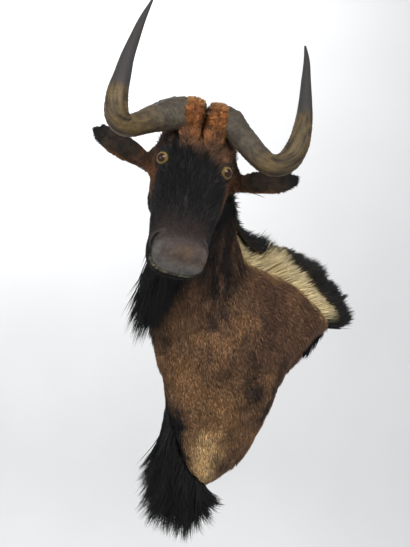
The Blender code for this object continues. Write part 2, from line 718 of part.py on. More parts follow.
def part_flesh(flesh):
    """Cuts the fused flesh into the parts a person would name."""
    shoulder, rest = parted(flesh, *body_plane(NECK_CUT), "shoulder", "rest")
    neck_lower, rest = parted(rest, *body_plane(NECK_MIDDLE_CUT), "neck_lower", "rest")
    neck_upper, rest = parted(rest, *body_plane(HEAD_CUT), "neck_upper", "rest")
    face = HEAD.to_3x3()
    head, front = parted(rest, HEAD @ Vector((0, -MUZZLE_CUT, 0)), face @ Vector((0, -1, 0)), "head", "front")
    below = (MOUTH_FRONT - MOUTH_CORNER).cross(Vector((1, 0, 0)))
    below *= math.copysign(1, -below.z)
    muzzle, jaw = parted(front, HEAD @ MOUTH_FRONT, face @ below, "muzzle", "lower_jaw")
    for piece, colour in ((head, "dark_face"), (muzzle, "nose_skin"), (jaw, "dark_face")):
        piece.data.materials.clear()
        piece.data.materials.append(MATERIALS[colour])
    return [largest_body(piece) for piece in (shoulder, neck_lower, neck_upper, head, muzzle, jaw)]


def part_mane(mane):
    """Parts the mane at the base of the neck and keeps it off the wall."""
    boolean(mane, half_space(Vector((0, FLESH_BACK, 0)), Vector((0, -1, 0))))
    point, normal = body_plane(MANE_CUT)
    withers, neck = parted(largest_body(mane), point, normal, "mane_withers", "mane_neck")
    return largest_body(withers), largest_body(neck)


def main():
    flesh = make_flesh()
    body = [grown(flesh)]
    make_eyes(flesh)
    taken = body + make_horns(body)
    ears = make_ears(taken)
    forelocks = [
        mound("forelock_left", FORELOCK[0], FORELOCK[1], "rust_hair", taken),
        mound("forelock_right", mirrored(FORELOCK[0]), FORELOCK[1], "rust_hair", taken),
    ]
    mound("face_brush", *FACE_BRUSH, "black_hair", taken + forelocks)
    make_fringe("beard", BEARD, "black_hair", taken)
    make_fringe("chest_tuft", CHEST_TUFT, "black_hair", taken)
    mane = make_fringe("mane", mane_rows(), "cream_hair", taken + forelocks + ears, MANE_STEPS)
    part_mane(mane)
    part_flesh(flesh)
    make_board()


for leftover in list(bpy.data.objects):
    bpy.data.objects.remove(leftover)
PARTS = bpy.data.collections.new("wildebeest_shoulder_mount")
CUTTERS = bpy.data.collections.new("cutters")
bpy.context.scene.collection.children.link(PARTS)
bpy.context.scene.collection.children.link(CUTTERS)
MATERIALS = make_materials()
main()
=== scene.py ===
"""Looks of a wall-hung shoulder mount of a black wildebeest bull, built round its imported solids.

One skin stands for the flesh, glass eyes and ridged horns sit in it, and a coat of mesh tufts and
locks lies over it: short on the face and ears, longer on the neck and shoulder, long in the mane,
beard, chest tuft, forelocks and face brush. Metres, +Z up, +Y into the wall.
"""

import logging
import math
from dataclasses import dataclass, field
from enum import Enum
from typing import Callable, Sequence

import bmesh
import bpy
import numpy as np
from mathutils import Matrix, Vector
from mathutils.bvhtree import BVHTree


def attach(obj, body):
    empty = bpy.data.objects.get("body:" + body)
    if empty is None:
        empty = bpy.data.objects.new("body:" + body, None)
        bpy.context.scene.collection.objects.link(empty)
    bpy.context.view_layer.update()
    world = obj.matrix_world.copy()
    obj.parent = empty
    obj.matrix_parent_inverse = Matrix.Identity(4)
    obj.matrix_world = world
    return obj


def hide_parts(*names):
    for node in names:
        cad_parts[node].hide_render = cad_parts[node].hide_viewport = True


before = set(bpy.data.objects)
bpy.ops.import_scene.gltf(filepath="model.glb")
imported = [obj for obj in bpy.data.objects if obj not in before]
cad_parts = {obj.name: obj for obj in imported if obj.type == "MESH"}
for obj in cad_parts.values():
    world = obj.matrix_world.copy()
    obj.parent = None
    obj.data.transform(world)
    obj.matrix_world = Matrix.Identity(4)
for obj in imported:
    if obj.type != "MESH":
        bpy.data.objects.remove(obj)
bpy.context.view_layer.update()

LOG = logging.getLogger("wildebeest")
Array = np.ndarray
Object = bpy.types.Object
Material = bpy.types.Material
Socket = bpy.types.NodeSocket
COAT_ATTRIBUTE = "coat"
BARE_ATTRIBUTE = "bare"
GRAIN_ATTRIBUTE = "grain"
BAKE_MAP = "OFBake"
PATCH = 0.003  # side of a hair's place in the bake map
WALL_GAP = -0.0040  # hair stays in front of this y


class Slot(Enum):
    """Names of material slots, handed with each new piece to finish_piece, which does not use them."""

    COAT = "coat"
    DARK_FACE = "dark_face"
    BLACK_HAIR = "black_hair"
    CREAM_HAIR = "cream_hair"
    RUST_HAIR = "rust_hair"
    HORN = "horn"
    EYE = "eye"


def linear(red: float, green: float, blue: float) -> Array:
    """A screen colour of 0 to 255 as linear light."""
    share = np.array((red, green, blue), float) / 255.0
    return np.where(share <= 0.04045, share / 12.92, ((share + 0.055) / 1.055) ** 2.4)


class Tint:
    """The colours of the coat, skin, horns and eyes."""

    BLACK = linear(21, 21, 22)
    SOOT = linear(53, 49, 48)
    MUZZLE_TOP = linear(56, 46, 44)
    PAD = linear(68, 58, 54)
    PAD_TAN = linear(80, 64, 50)
    PAD_GREY = linear(76, 73, 69)
    LIP_HAIR = linear(176, 164, 130)
    RUST = linear(158, 99, 54)
    RUST_TOP = linear(200, 156, 100)
    BROW = linear(116, 84, 62)
    CHEEK_RUST = linear(116, 77, 48)
    EAR_BROWN = linear(73, 58, 45)
    COAT_BROWN = linear(118, 88, 64)
    COAT_RED = linear(110, 80, 63)
    COAT_DARK = linear(56, 44, 38)
    COAT_OCHRE = linear(158, 118, 78)
    COAT_PALE = linear(226, 188, 134)
    CREAM = linear(252, 233, 184)
    STRAW = linear(186, 152, 96)
    PUPIL = linear(50, 31, 23)
    IRIS = linear(118, 99, 58)
    IRIS_RIM = linear(74, 58, 34)
    BOSS = linear(90, 80, 66)
    BOSS_DARK = linear(58, 51, 43)
    BEND = linear(104, 86, 55)
    BEND_DARK = linear(43, 34, 23)
    POINT = linear(54, 51, 50)


def smoothstep(low: float, high: float, value: Array) -> Array:
    """A smooth ramp from 0 at low to 1 at high."""
    share = np.clip((value - low) / (high - low), 0.0, 1.0)
    return share * share * (3.0 - 2.0 * share)


def bump_at(value: Array, middle: float, spread: float) -> Array:
    """A soft bump of height 1 about a middle."""
    return np.exp(-(((value - middle) / spread) ** 2))


def mix(first: Array, second: Array, share: Array, most: float = 1.0) -> Array:
    """Rows of the first that turn to the second by a share, cut to 0 to 1, times the most that shows."""
    share = np.clip(share, 0.0, 1.0)[:, None] * most
    return first * (1.0 - share) + second * share


def unit(rows: Array) -> Array:
    """Rows of vectors at length 1."""
    return rows / np.maximum(np.linalg.norm(rows, axis=-1, keepdims=True), 1e-9)


def along_skin(vectors: Array, normals: Array) -> Array:
    """Vectors without their part along the skin's normals."""
    return vectors - normals * np.sum(vectors * normals, axis=1, keepdims=True)


def mirror(side: int) -> Array:
    """Carries the left side's places to a side, 1 for the left and -1 for the right."""
    return np.array((side, 1.0, 1.0))


def lattice_noise(points: Array, scale: float, seed: int, squeeze: tuple = (1.0, 1.0, 1.0)) -> Array:
    """Smooth noise from -1 to 1 with lumps of about the scale's size.

    Args:
        points: Rows of x, y, z.
        scale: Size of a lump, in metres.
        seed: Picks another pattern.
        squeeze: Scale of each axis; below 1 it draws the lumps out along that axis.

    Returns:
        One number for each row.
    """
    grid = points * np.array(squeeze) / scale + 31.7 * seed
    low = np.floor(grid).astype(np.int64)
    part = grid - low
    part = part * part * (3.0 - 2.0 * part)
    total = np.zeros(len(points))
    for corner in range(8):
        step = np.array((corner & 1, corner >> 1 & 1, corner >> 2 & 1))
        weight = np.prod(np.where(step, part, 1.0 - part), axis=1)
        cell = low + step
        mixed = (cell[:, 0] * 73856093) ^ (cell[:, 1] * 19349663) ^ (cell[:, 2] * 83492791)
        mixed = (mixed ^ (mixed >> 13)) * 1274126177
        total += weight * (((mixed >> 9) & 0xFFFF) / 32767.5 - 1.0)
    return total


def spline(rows: Sequence, at: float) -> list:
    """Reads a table between its rows on a smooth curve.

    Args:
        rows: Rows of numbers and places.
        at: Row number, which may be between two rows.

    Returns:
        The row there, with its places as vectors.
    """
    last = len(rows) - 1
    low = min(int(at), last - 1)
    t = at - low
    picked = [rows[min(max(low + k, 0), last)] for k in (-1, 0, 1, 2)]
    weights = (
        0.5 * (-t + 2 * t * t - t**3),
        0.5 * (2 - 5 * t * t + 3 * t**3),
        0.5 * (t + 4 * t * t - 3 * t**3),
        0.5 * (-t * t + t**3),
    )
    total = []
    for values in zip(*picked):
        if isinstance(values[0], tuple):
            values = [Vector(value) for value in values]
        sample = values[0] * weights[0]
        for value, weight in zip(values[1:], weights[1:]):
            sample = sample + value * weight
        total.append(sample)
    return total


def spline_many(rows: Sequence, at: Array) -> list[Array]:
    """Reads a table at many row numbers, as one array for each column."""
    samples = [spline(rows, float(a)) for a in at]
    return [np.array([sample[k] for sample in samples]) for k in range(len(samples[0]))]


@dataclass
class HeadFrame:
    """The head's own frame: x to its left, y to the crown, z out of the forehead."""

    eye_middle: Vector = field(default_factory=lambda: Vector((-0.074, -0.420, 0.511)))
    roll: float = math.radians(13.0)
    yaw: float = math.radians(4.0)
    pitch: float = math.radians(40.0)

    def matrix(self) -> Matrix:
        """Head frame to world."""
        roll = Matrix.Rotation(self.roll, 3, "Y")
        left = roll @ Vector((1, 0, 0))
        up = roll @ Vector((0, 0, 1))
        forward = Vector((0, -1, 0))
        turned = math.cos(self.yaw) * forward + math.sin(self.yaw) * left
        left = math.cos(self.yaw) * left - math.sin(self.yaw) * forward
        muzzle = math.sin(self.pitch) * turned - math.cos(self.pitch) * up
        brow = math.cos(self.pitch) * turned + math.sin(self.pitch) * up
        placed = Matrix((left, -muzzle, brow)).transposed().to_4x4()
        placed.translation = self.eye_middle
        return placed

    def upright(self, side: float, up: float, forward: float) -> Vector:
        """A point given as left, up and forward from the eyes, in the head's frame."""
        muzzle = forward * math.sin(self.pitch) - up * math.cos(self.pitch)
        brow = forward * math.cos(self.pitch) + up * math.sin(self.pitch)
        return Vector((side, -muzzle, brow))

    def inward(self, points: Array) -> Array:
        """World points in the head's frame."""
        placed = np.array(self.matrix())
        return (points - placed[:3, 3]) @ placed[:3, :3]

    def outward(self, points: Array) -> Array:
        """Head frame points in the world."""
        placed = np.array(self.matrix())
        return points @ placed[:3, :3].T + placed[:3, 3]

    def turned(self, vectors: Array) -> Array:
        """Head frame directions in the world."""
        return vectors @ np.array(self.matrix())[:3, :3].T


HEAD = HeadFrame()


@dataclass
class BodyLine:
    """The trunk and neck as sections from the cape's rear edge to the back of the skull."""

    # Crest point, throat or chest point, half width on the left, half width on the right
    sections: tuple = (
        ((0.286, -0.030, 0.142), (-0.058, -0.030, -0.286), 0.018, 0.040),
        ((0.270, -0.044, 0.168), (-0.076, -0.044, -0.268), 0.070, 0.060),
        ((0.243, -0.056, 0.196), (-0.098, -0.056, -0.236), 0.103, 0.080),
        ((0.198, -0.066, 0.232), (-0.126, -0.066, -0.176), 0.133, 0.090),
        ((0.146, -0.078, 0.264), (-0.146, -0.078, -0.100), 0.148, 0.096),
        ((0.090, -0.094, 0.290), (-0.154, -0.094, -0.020), 0.141, 0.100),
        ((0.046, -0.117, 0.313), (-0.172, -0.117, 0.062), 0.120, 0.098),
        ((0.022, -0.150, 0.350), (-0.176, -0.154, 0.142), 0.100, 0.090),
        ((0.008, -0.178, 0.398), (-0.166, -0.208, 0.216), 0.086, 0.082),
        ((-0.002, -0.205, 0.455), (-0.146, -0.262, 0.290), 0.080, 0.078),
        ((-0.018, -0.240, 0.520), (-0.124, -0.302, 0.355), 0.078, 0.078),
        ((-0.034, -0.290, 0.585), (-0.106, -0.345, 0.405), 0.076, 0.076),
        ((-0.044, -0.345, 0.612), (-0.098, -0.385, 0.445), 0.068, 0.068),
    )
    head_cut: float = 10.9
    neck_cut: float = 6.4

    def at(self, section: float) -> tuple[Vector, Vector, Vector, Vector, float]:
        """The body at a section number.

        Args:
            section: Section number, which may be between two sections.

        Returns:
            Middle, crest direction, left direction, forward direction and half height.
        """
        crest, chest, _, _ = spline(self.sections, section)
        low, high = max(section - 0.02, 0), min(section + 0.02, len(self.sections) - 1)
        before, after = spline(self.sections, low), spline(self.sections, high)
        forward = (after[0] + after[1] - before[0] - before[1]).normalized()
        dorsal = (crest - chest).normalized()
        left = dorsal.cross(forward).normalized()
        return (crest + chest) / 2, dorsal, left, forward, (crest - chest).length / 2

    def ahead_of(self, section: float, points: Array) -> Array:
        """How far points lie in front of a section, in metres."""
        middle, dorsal, left, _, _ = self.at(section)
        normal = np.array(left.cross(dorsal))
        return (points - np.array(middle)) @ normal


BODY = BodyLine()


@dataclass
class CrestLine:
    """The line of the crest, from which the mane grows."""

    low: float = 0.2
    high: float = 11.7
    count: int = 64

    def __post_init__(self) -> None:
        """Reads the line from the sections."""
        self.sections = np.linspace(self.low, self.high, self.count)
        spots = []
        for section in self.sections:
            middle, dorsal, _, _, height = BODY.at(float(section))
            spots.append(tuple(middle + dorsal * (height - 0.010)))
        self.spots = np.array(spots)

    def measure(self, points: Array) -> tuple[Array, Array]:
        """Distance of points from the crest, and the section number of the nearest spot."""
        square = (points**2).sum(axis=1)[:, None] + (self.spots**2).sum(axis=1)[None]
        square = square - 2 * points @ self.spots.T
        nearest = square.argmin(axis=1)
        return np.sqrt(np.maximum(square[np.arange(len(points)), nearest], 0)), self.sections[nearest]


CREST = CrestLine()


@dataclass
class EarShape:
    """A leaf-shaped cup, given in the head's frame for the left side."""

    root: Vector = field(default_factory=lambda: Vector((0.083, 0.0175, -0.052)))
    direction: Vector = field(default_factory=lambda: Vector((0.900, 0.400, 0.022)))
    lift: float = 0.040  # the right ear is held a little higher than the left
    opening: Vector = field(default_factory=lambda: Vector((-0.100, -0.560, 0.800)))
    length: float = 0.184
    # Share of length, half width, cup depth, wall
    leaf: tuple = (
        (0.00, 0.0200, 0.0160, 0.0280),
        (0.12, 0.0190, 0.0170, 0.0260),
        (0.26, 0.0230, 0.0190, 0.0130),
        (0.42, 0.0290, 0.0190, 0.0080),
        (0.60, 0.0315, 0.0160, 0.0070),
        (0.78, 0.0275, 0.0115, 0.0065),
        (0.92, 0.0175, 0.0065, 0.0062),
        (1.00, 0.0050, 0.0030, 0.0055),
    )
    steps: int = 34
    sides: int = 14
    edge_share: float = 0.62  # the rim's thickness beside the wall's

    def axes(self, side: int) -> tuple[Vector, Vector, Vector]:
        """Along, out of the cup and across, for a side, before mirroring."""
        along = (self.direction - Vector((0, self.lift * side, 0))).normalized()
        opening = (self.opening - along * self.opening.dot(along)).normalized()
        return along, opening, along.cross(opening)

    def rings(self, side: int) -> list[list[Vector]]:
        """Sections of the ear in the world.

        Args:
            side: 1 for the left ear and -1 for the right.

        Returns:
            One list of points for each section.
        """
        along, opening, across = self.axes(side)
        rings = []
        for k in range(self.steps):
            at = (len(self.leaf) - 1) * k / (self.steps - 1)
            share, wide, deep, wall = spline(self.leaf, at)
            middle = self.root + along * self.length * share
            spots = [2 * j / self.sides - 1 for j in range(self.sides + 1)]
            outer = [(u, -deep * (1 - u * u)) for u in spots]
            edge = self.edge_share
            inner = [
                (u, -deep * (1 - u * u) + wall * (edge + (1 - edge) * (1 - u * u)))
                for u in reversed(spots)
            ]
            ring = []
            for u, height in outer + inner:
                point = middle + across * wide * u + opening * height
                point.x *= side
                ring.append(HEAD.matrix() @ point)
            rings.append(ring)
        return rings

    def measure(self, local: Array, side: int) -> tuple[Array, Array, Array]:
        """Where points lie on an ear.

        Args:
            local: Points in the head's frame.
            side: 1 for the left ear and -1 for the right.

        Returns:
            Share of the ear's length, offset across it, and height towards its opening.
        """
        along, opening, across = (np.array(axis) for axis in self.axes(side))
        offset = local * mirror(side) - np.array(self.root)
        return offset @ along / self.length, offset @ across, offset @ opening


EAR = EarShape()


@dataclass
class EyeShape:
    """A glass eye and its opening, in the head's frame for the left side."""

    centre: Vector = field(default_factory=lambda: Vector((0.0705, -0.001, 0.003)))
    gaze: Vector = field(default_factory=lambda: Vector((0.450, -0.574, 0.684)))
    radius: float = 0.0172
    opening: float = math.radians(58.0)
    lid_radius: float = 0.0191
    hidden_radius: float = 0.0152
    ahead: tuple[float, float, float] = (0.0, -0.643, 0.766)  # level, out of the wall
    clear_share: float = 0.80  # of the ball's radius, kept clear of hair

    def local(self, points: Array, side: int) -> tuple[Array, Array]:
        """Offsets from the eye's middle, mirrored to the left side, and their lengths."""
        offset = points * mirror(side) - np.array(self.centre)
        return offset, np.linalg.norm(offset, axis=1)

    def away(self, points: Array) -> Array:
        """Distance of head frame points from the middle of the nearer eye."""
        return np.minimum(self.local(points, 1)[1], self.local(points, -1)[1])

    def crossed(self, paths: Array) -> Array:
        """Finds hairs that pass in front of an eye.

        Args:
            paths: World places, by hair and station.

        Returns:
            True for each hair that crosses the opening along the gaze or from straight ahead.
        """
        local = HEAD.inward(paths.reshape(-1, 3))
        gaze = np.array(self.gaze.normalized())
        hit = np.zeros(len(local), bool)
        for side in (1, -1):
            start = self.local(local, side)[0] - gaze * self.radius * 0.5
            for axis in (gaze, np.array(self.ahead)):
                along = start @ axis
                away = np.linalg.norm(start - along[:, None] * axis, axis=1)
                hit |= (along > 0) & (away < self.radius * self.clear_share)
        return hit.reshape(paths.shape[:2]).any(axis=1)


EYE = EyeShape()


@dataclass
class NosePad:
    """The bare pad on the front of the muzzle, in the head's frame."""

    middle: Vector = field(default_factory=lambda: Vector((0.007, -0.258, -0.007)))
    normal: Vector = field(default_factory=lambda: Vector((0.0, -0.763, 0.646)))
    upward: Vector = field(default_factory=lambda: Vector((0.0, 0.646, 0.763)))
    half_width: float = 0.0625
    half_height: float = 0.0435
    squareness: float = 2.6
    dome: float = 0.006
    # The nostril's arch from its inner end to its outer end: distance across and up
    arch: tuple = ((0.0640, 0.002), (0.0645, 0.013), (0.0615, 0.024), (0.0545, 0.033), (0.0450, 0.039))

    def measure(self, local: Array) -> tuple[Array, Array, Array, Array]:
        """Where points lie on the pad.

        Args:
            local: Points in the head's frame.

        Returns:
            Distance across, distance up, height off the plate, and 1 at the pad's edge.
        """
        offset = local - np.array(self.middle)
        across, up = offset[:, 0], offset @ np.array(self.upward)
        height = offset @ np.array(self.normal)
        power = self.squareness
        square = np.abs(across / self.half_width) ** power + np.abs(up / self.half_height) ** power
        return across, up, height, square ** (1 / power)

    def nostril(self, local: Array) -> tuple[Array, Array]:
        """Distance from the nearer nostril's arch, and how far outward of it a point lies."""
        across, up, _, _ = self.measure(local)
        arch = np.array(self.arch)
        spots = np.stack((np.abs(across), up), axis=1)
        nearest = np.full(len(spots), 1.0)
        outward = np.zeros(len(spots))
        for start, end in zip(arch, arch[1:]):
            line = end - start
            share = np.clip(((spots - start) @ line) / (line @ line), 0, 1)
            offset = spots - (start + share[:, None] * line)
            distance = np.linalg.norm(offset, axis=1)
            side = offset @ (np.array((line[1], -line[0])) / np.linalg.norm(line))
            closer = distance < nearest
            outward = np.where(closer, side, outward)
            nearest = np.minimum(nearest, distance)
        ends = smoothstep(0.026, 0.040, up) + smoothstep(0.012, 0.000, up)
        return nearest + 0.0022 * np.clip(ends, 0, 1), outward


PAD = NosePad()


class Markings:
    """One set of colours for skin and coat, by place."""

    # Strength, place in x and z, spread in x and z
    DARK_SPOTS = ((0.7, 0.110, 0.140, 0.060, 0.060), (0.6, 0.070, -0.020, 0.040, 0.035))
    OCHRE_SPOTS = (
        (1.0, -0.018, -0.070, 0.058, 0.072),
        (0.6, -0.120, 0.040, 0.030, 0.060),
        (0.7, -0.096, 0.030, 0.030, 0.040),
    )
    LOW_SPOTS = ((1.0, -0.006, -0.215, 0.020, 0.020),)
    # Height and x of the chest's edge
    CHEST_EDGE = (
        (-0.270, -0.070), (-0.214, -0.096), (-0.100, -0.106),
        (-0.060, -0.130), (-0.020, -0.156), (0.060, -0.200),
    )

    @staticmethod
    def zones(points: Array) -> dict[str, Array]:
        """Shares of the regions of the body at each point.

        Args:
            points: World points.

        Returns:
            Named rows from 0 to 1, and the head frame points.
        """
        local = HEAD.inward(points)
        head = smoothstep(-0.012, 0.020, BODY.ahead_of(BODY.head_cut, points))
        neck = smoothstep(-0.030, 0.030, BODY.ahead_of(BODY.neck_cut, points))
        ear, inside, share_along, offset = np.zeros((4, len(points)))
        for side in (1, -1):
            share, across, height = EAR.measure(local, side)
            near = (share > 0.10) & (share < 1.12) & (np.abs(across) < 0.040) & (np.abs(height) < 0.034)
            near &= local[:, 0] * side > 0
            weight = near * smoothstep(0.10, 0.24, share)
            cup = smoothstep(-0.004, 0.002, height + 0.016 * (1 - (across / 0.032) ** 2) - 0.004)
            inside = np.where(weight > ear, cup * weight, inside)
            share_along = np.where(weight > ear, share, share_along)
            offset = np.where(weight > ear, across, offset)
            ear = np.maximum(ear, weight)
        _, up, height, edge = PAD.measure(local)
        soft = 0.30 * smoothstep(0.005, 0.030, up)
        pad = (1 - smoothstep(0.92 - soft, 1.01 + 0.2 * soft, edge)) * (height > -0.030)
        return {"local": local, "head": np.maximum(head, ear), "neck": neck, "ear": ear, "across": offset,
                "cup": inside, "share": share_along, "pad": pad, "height": height}

    @staticmethod
    def colours(points: Array) -> Array:
        """Linear colours at world points."""
        zone = Markings.zones(points)
        local = zone["local"]
        broad = lattice_noise(points, 0.050, 1)
        fine = lattice_noise(points, 0.012, 2)
        colour = mix(Markings.trunk(points, zone, broad), Markings.face(local, zone, fine), zone["head"])
        # Ears: brown in the cup, rusty at the base and along the lower edge, black elsewhere
        rust = zone["cup"] * smoothstep(0.42, 0.20, zone["share"]) * (0.35 + 0.5 * fine)
        rust += smoothstep(0.015, 0.027, zone["across"]) * smoothstep(0.80, 0.45, zone["share"]) * 0.85
        brown = zone["cup"] * (0.45 + 0.4 * fine) * smoothstep(0.95, 0.7, zone["share"])
        ear = mix(mix(Tint.BLACK * 1.2, Tint.EAR_BROWN, brown), Tint.CHEEK_RUST, rust)
        colour = Markings.nose(mix(colour, ear, zone["ear"]), local, zone, fine)
        colour = mix(colour, Tint.BLACK, smoothstep(0.031, 0.021, EYE.away(local)), 0.85)
        return colour * (1 + 0.10 * broad)[:, None]

    @staticmethod
    def trunk(points: Array, zone: dict[str, Array], broad: Array) -> Array:
        """Brown shoulder with dark and ochre patches, dark neck, black throat, cream crest."""
        wx, wz = points[:, 0], points[:, 2]

        def spots(rows: tuple) -> Array:
            """Soft spots added up, each a strength, a place in x and z and a spread in x and z."""
            return sum(gain * bump_at(wx, x, wide) * bump_at(wz, z, tall) for gain, x, z, wide, tall in rows)

        patch = lattice_noise(points, 0.036, 3, (1.0, 1.0, 0.6)) + 0.6 * lattice_noise(points, 0.015, 4)
        patch += spots(Markings.DARK_SPOTS)
        streak = lattice_noise(points, 0.009, 5, (1.0, 1.0, 0.20))
        coat = mix(Tint.COAT_BROWN, Tint.COAT_DARK, smoothstep(0.05, 0.80, patch + 0.30 * streak), 0.92)
        upper = smoothstep(0.02, 0.16, wz + 0.25 * wx) * smoothstep(0.00, 0.12, wx)
        coat = mix(coat, Tint.COAT_RED, upper, 0.75)
        ochre = spots(Markings.OCHRE_SPOTS) + 0.5 * smoothstep(0.1, 0.8, broad + 0.3 * streak)
        coat = mix(coat, Tint.COAT_OCHRE, ochre + 0.2 * streak, 0.75)
        pale = bump_at(wx, -0.056 + 0.16 * (wz + 0.2), 0.034) * smoothstep(-0.095, -0.165, wz + 0.03 * streak)
        coat = mix(coat, Tint.COAT_PALE, pale * (1.1 + 0.3 * streak), 0.9)
        coat = mix(coat, Tint.COAT_DARK, spots(Markings.LOW_SPOTS) * (1 + 0.4 * streak), 0.8)
        # Dark streaks down the neck behind the muzzle, brown beside them, black to the throat
        wide = lattice_noise(points, 0.016, 7, (1.0, 1.0, 0.14))
        high = smoothstep(0.07, 0.27, wz + 0.035 * wide + 0.02 * streak)
        middle = smoothstep(-0.085, -0.030, wx) + smoothstep(0.24, 0.32, wz)
        dusk = high * np.clip(middle, 0, 1) * smoothstep(-1.1, 0.9, streak + 0.8 * wide + 0.7 * (high - 0.5))
        coat = mix(coat, Tint.COAT_RED * 0.8, high * zone["neck"], 0.5)
        coat = mix(coat, Tint.BLACK * 1.3, dusk * zone["neck"], 0.92)
        throat = wx + 0.110 - 0.70 * (wz - 0.242) + 0.010 * streak + 0.008 * wide
        depth = smoothstep(0.02, 0.17, wz + 0.05 * wide + 0.02 * streak)
        coat = mix(coat, Tint.BLACK, smoothstep(0.032, -0.026, throat) * depth)
        # Black along the edge of the chest
        edge = np.interp(wz, *zip(*Markings.CHEST_EDGE)) + 0.008 * streak
        coat = mix(coat, Tint.BLACK, smoothstep(0.012, -0.010, wx - edge + 0.006 * wide))
        # Cream beside the crest
        distance, section = CREST.measure(points)
        reach = 0.028 + 0.014 * streak + 0.006 * broad - 0.008 * smoothstep(7.0, 10.0, section)
        cream = smoothstep(0.016, -0.008, distance - reach)
        cream *= smoothstep(0.9, 1.8, section) * smoothstep(10.0, 8.6, section)
        return mix(coat, Tint.STRAW * 0.75 + Tint.CREAM * 0.25, cream)

    @staticmethod
    def face(local: Array, zone: dict[str, Array], fine: Array) -> Array:
        """Black face, brown brow and muzzle, rusty cheeks."""
        x, y, z = np.abs(local[:, 0]), local[:, 1], local[:, 2]
        streak = lattice_noise(local, 0.0075, 6, (1.0, 0.16, 1.0))
        hair = lattice_noise(local, 0.0036, 14, (1.0, 0.10, 1.0))
        face = mix(Tint.BLACK, Tint.SOOT, smoothstep(-0.1, 0.9, 0.6 * streak + 0.7 * hair), 0.8)
        muzzle = smoothstep(-0.150, -0.225, y + 0.014 * streak) * smoothstep(-0.02, 0.015, z)
        face = mix(face, Tint.MUZZLE_TOP, muzzle * (0.9 + 0.3 * fine))
        # Brown brow, drawn down into the black between streaks, lower on the left than on the right
        fan = (1.0, 0.12, 1.0)
        finger = lattice_noise(local, 0.0100, 8, fan) + 0.5 * lattice_noise(local, 0.0045, 9, fan)
        start = 0.004 - 0.022 * smoothstep(-0.01, 0.06, local[:, 0])
        start += 0.036 * smoothstep(-0.028, -0.054, local[:, 0])
        brow = smoothstep(-0.028, 0.026, y - start + 0.024 * finger) * smoothstep(0.094, 0.074, x)
        brow *= smoothstep(-0.04, 0.0, z)
        brow *= 1 - 0.6 * smoothstep(0.0, 0.8, finger) * smoothstep(0.055, 0.020, y)
        face = mix(face, Tint.BROW, brow * (0.95 + 0.3 * fine))
        cheek = smoothstep(0.070, 0.084, x) * bump_at(y, -0.030, 0.060) * smoothstep(-0.085, -0.055, z)
        cheek = cheek * smoothstep(0.012, -0.012, z) * (1 - zone["ear"])
        face = mix(face, Tint.CHEEK_RUST, cheek * (0.9 + 0.6 * streak), 0.85)
        behind = smoothstep(0.010, 0.030, y) * smoothstep(0.078, 0.094, x) * smoothstep(-0.02, -0.04, z)
        return mix(face, Tint.CHEEK_RUST, behind * (1 - zone["ear"]) * np.clip(0.55 + 0.4 * streak, 0, 1))

    @staticmethod
    def nose(colour: Array, local: Array, zone: dict[str, Array], fine: Array) -> Array:
        """The pad, the pale hairs round its lower edge, a painted highlight inside the nostril's rim, and
        painted shade in the nostrils.
        """
        across, up, _, edge = PAD.measure(local)
        nearest, outward = PAD.nostril(local)
        front = zone["height"] > -0.03
        inner = 1 - smoothstep(0.0005, 0.0035, outward) * (nearest < 0.03)
        blotch = lattice_noise(local, 0.009, 15)
        tan = bump_at(across, 0.010, 0.028) * bump_at(up, 0.006, 0.026) + 0.45 * blotch
        pad = mix(Tint.PAD, Tint.PAD_TAN, tan)
        grey = smoothstep(-0.008, -0.030, up) + smoothstep(-0.034, -0.056, across)
        pad = mix(pad, Tint.PAD_GREY, grey)
        pad = mix(pad, Tint.MUZZLE_TOP, smoothstep(0.012, 0.040, up))
        grainy = lattice_noise(local, 0.0045, 13)
        pad = pad * (1 + 0.34 * fine + 0.24 * grainy - 0.20 * smoothstep(0.2, 0.8, blotch))[:, None]
        colour = mix(colour, pad, zone["pad"] * inner)
        line = 0.018 + 0.006 * smoothstep(0.02, -0.03, across)
        rim = bump_at(edge, 1.03, line) * smoothstep(-0.012, -0.026, up) * (zone["height"] > -0.034)
        rim = rim * smoothstep(0.050, 0.025, across)
        colour = mix(colour, Tint.LIP_HAIR, rim * (0.75 + 0.7 * grainy), 0.85)
        # Painted highlight: a pale band just inside the nostril's rim, on the animal's left only.
        lit = bump_at(outward, -0.0042, 0.0014) * smoothstep(0.008, 0.004, nearest) * front
        lit = lit * smoothstep(0.0, 0.02, across)
        colour = mix(colour, Tint.PAD_GREY * 1.5, lit, 0.6)
        # Painted shade: the nostrils' openings are filled with near black.
        far = smoothstep(-0.030, -0.040, across) + smoothstep(0.0, 0.02, across)
        return mix(colour, Tint.BLACK * 0.5, (1 - smoothstep(0.0010, 0.0032, nearest)) * front * far)


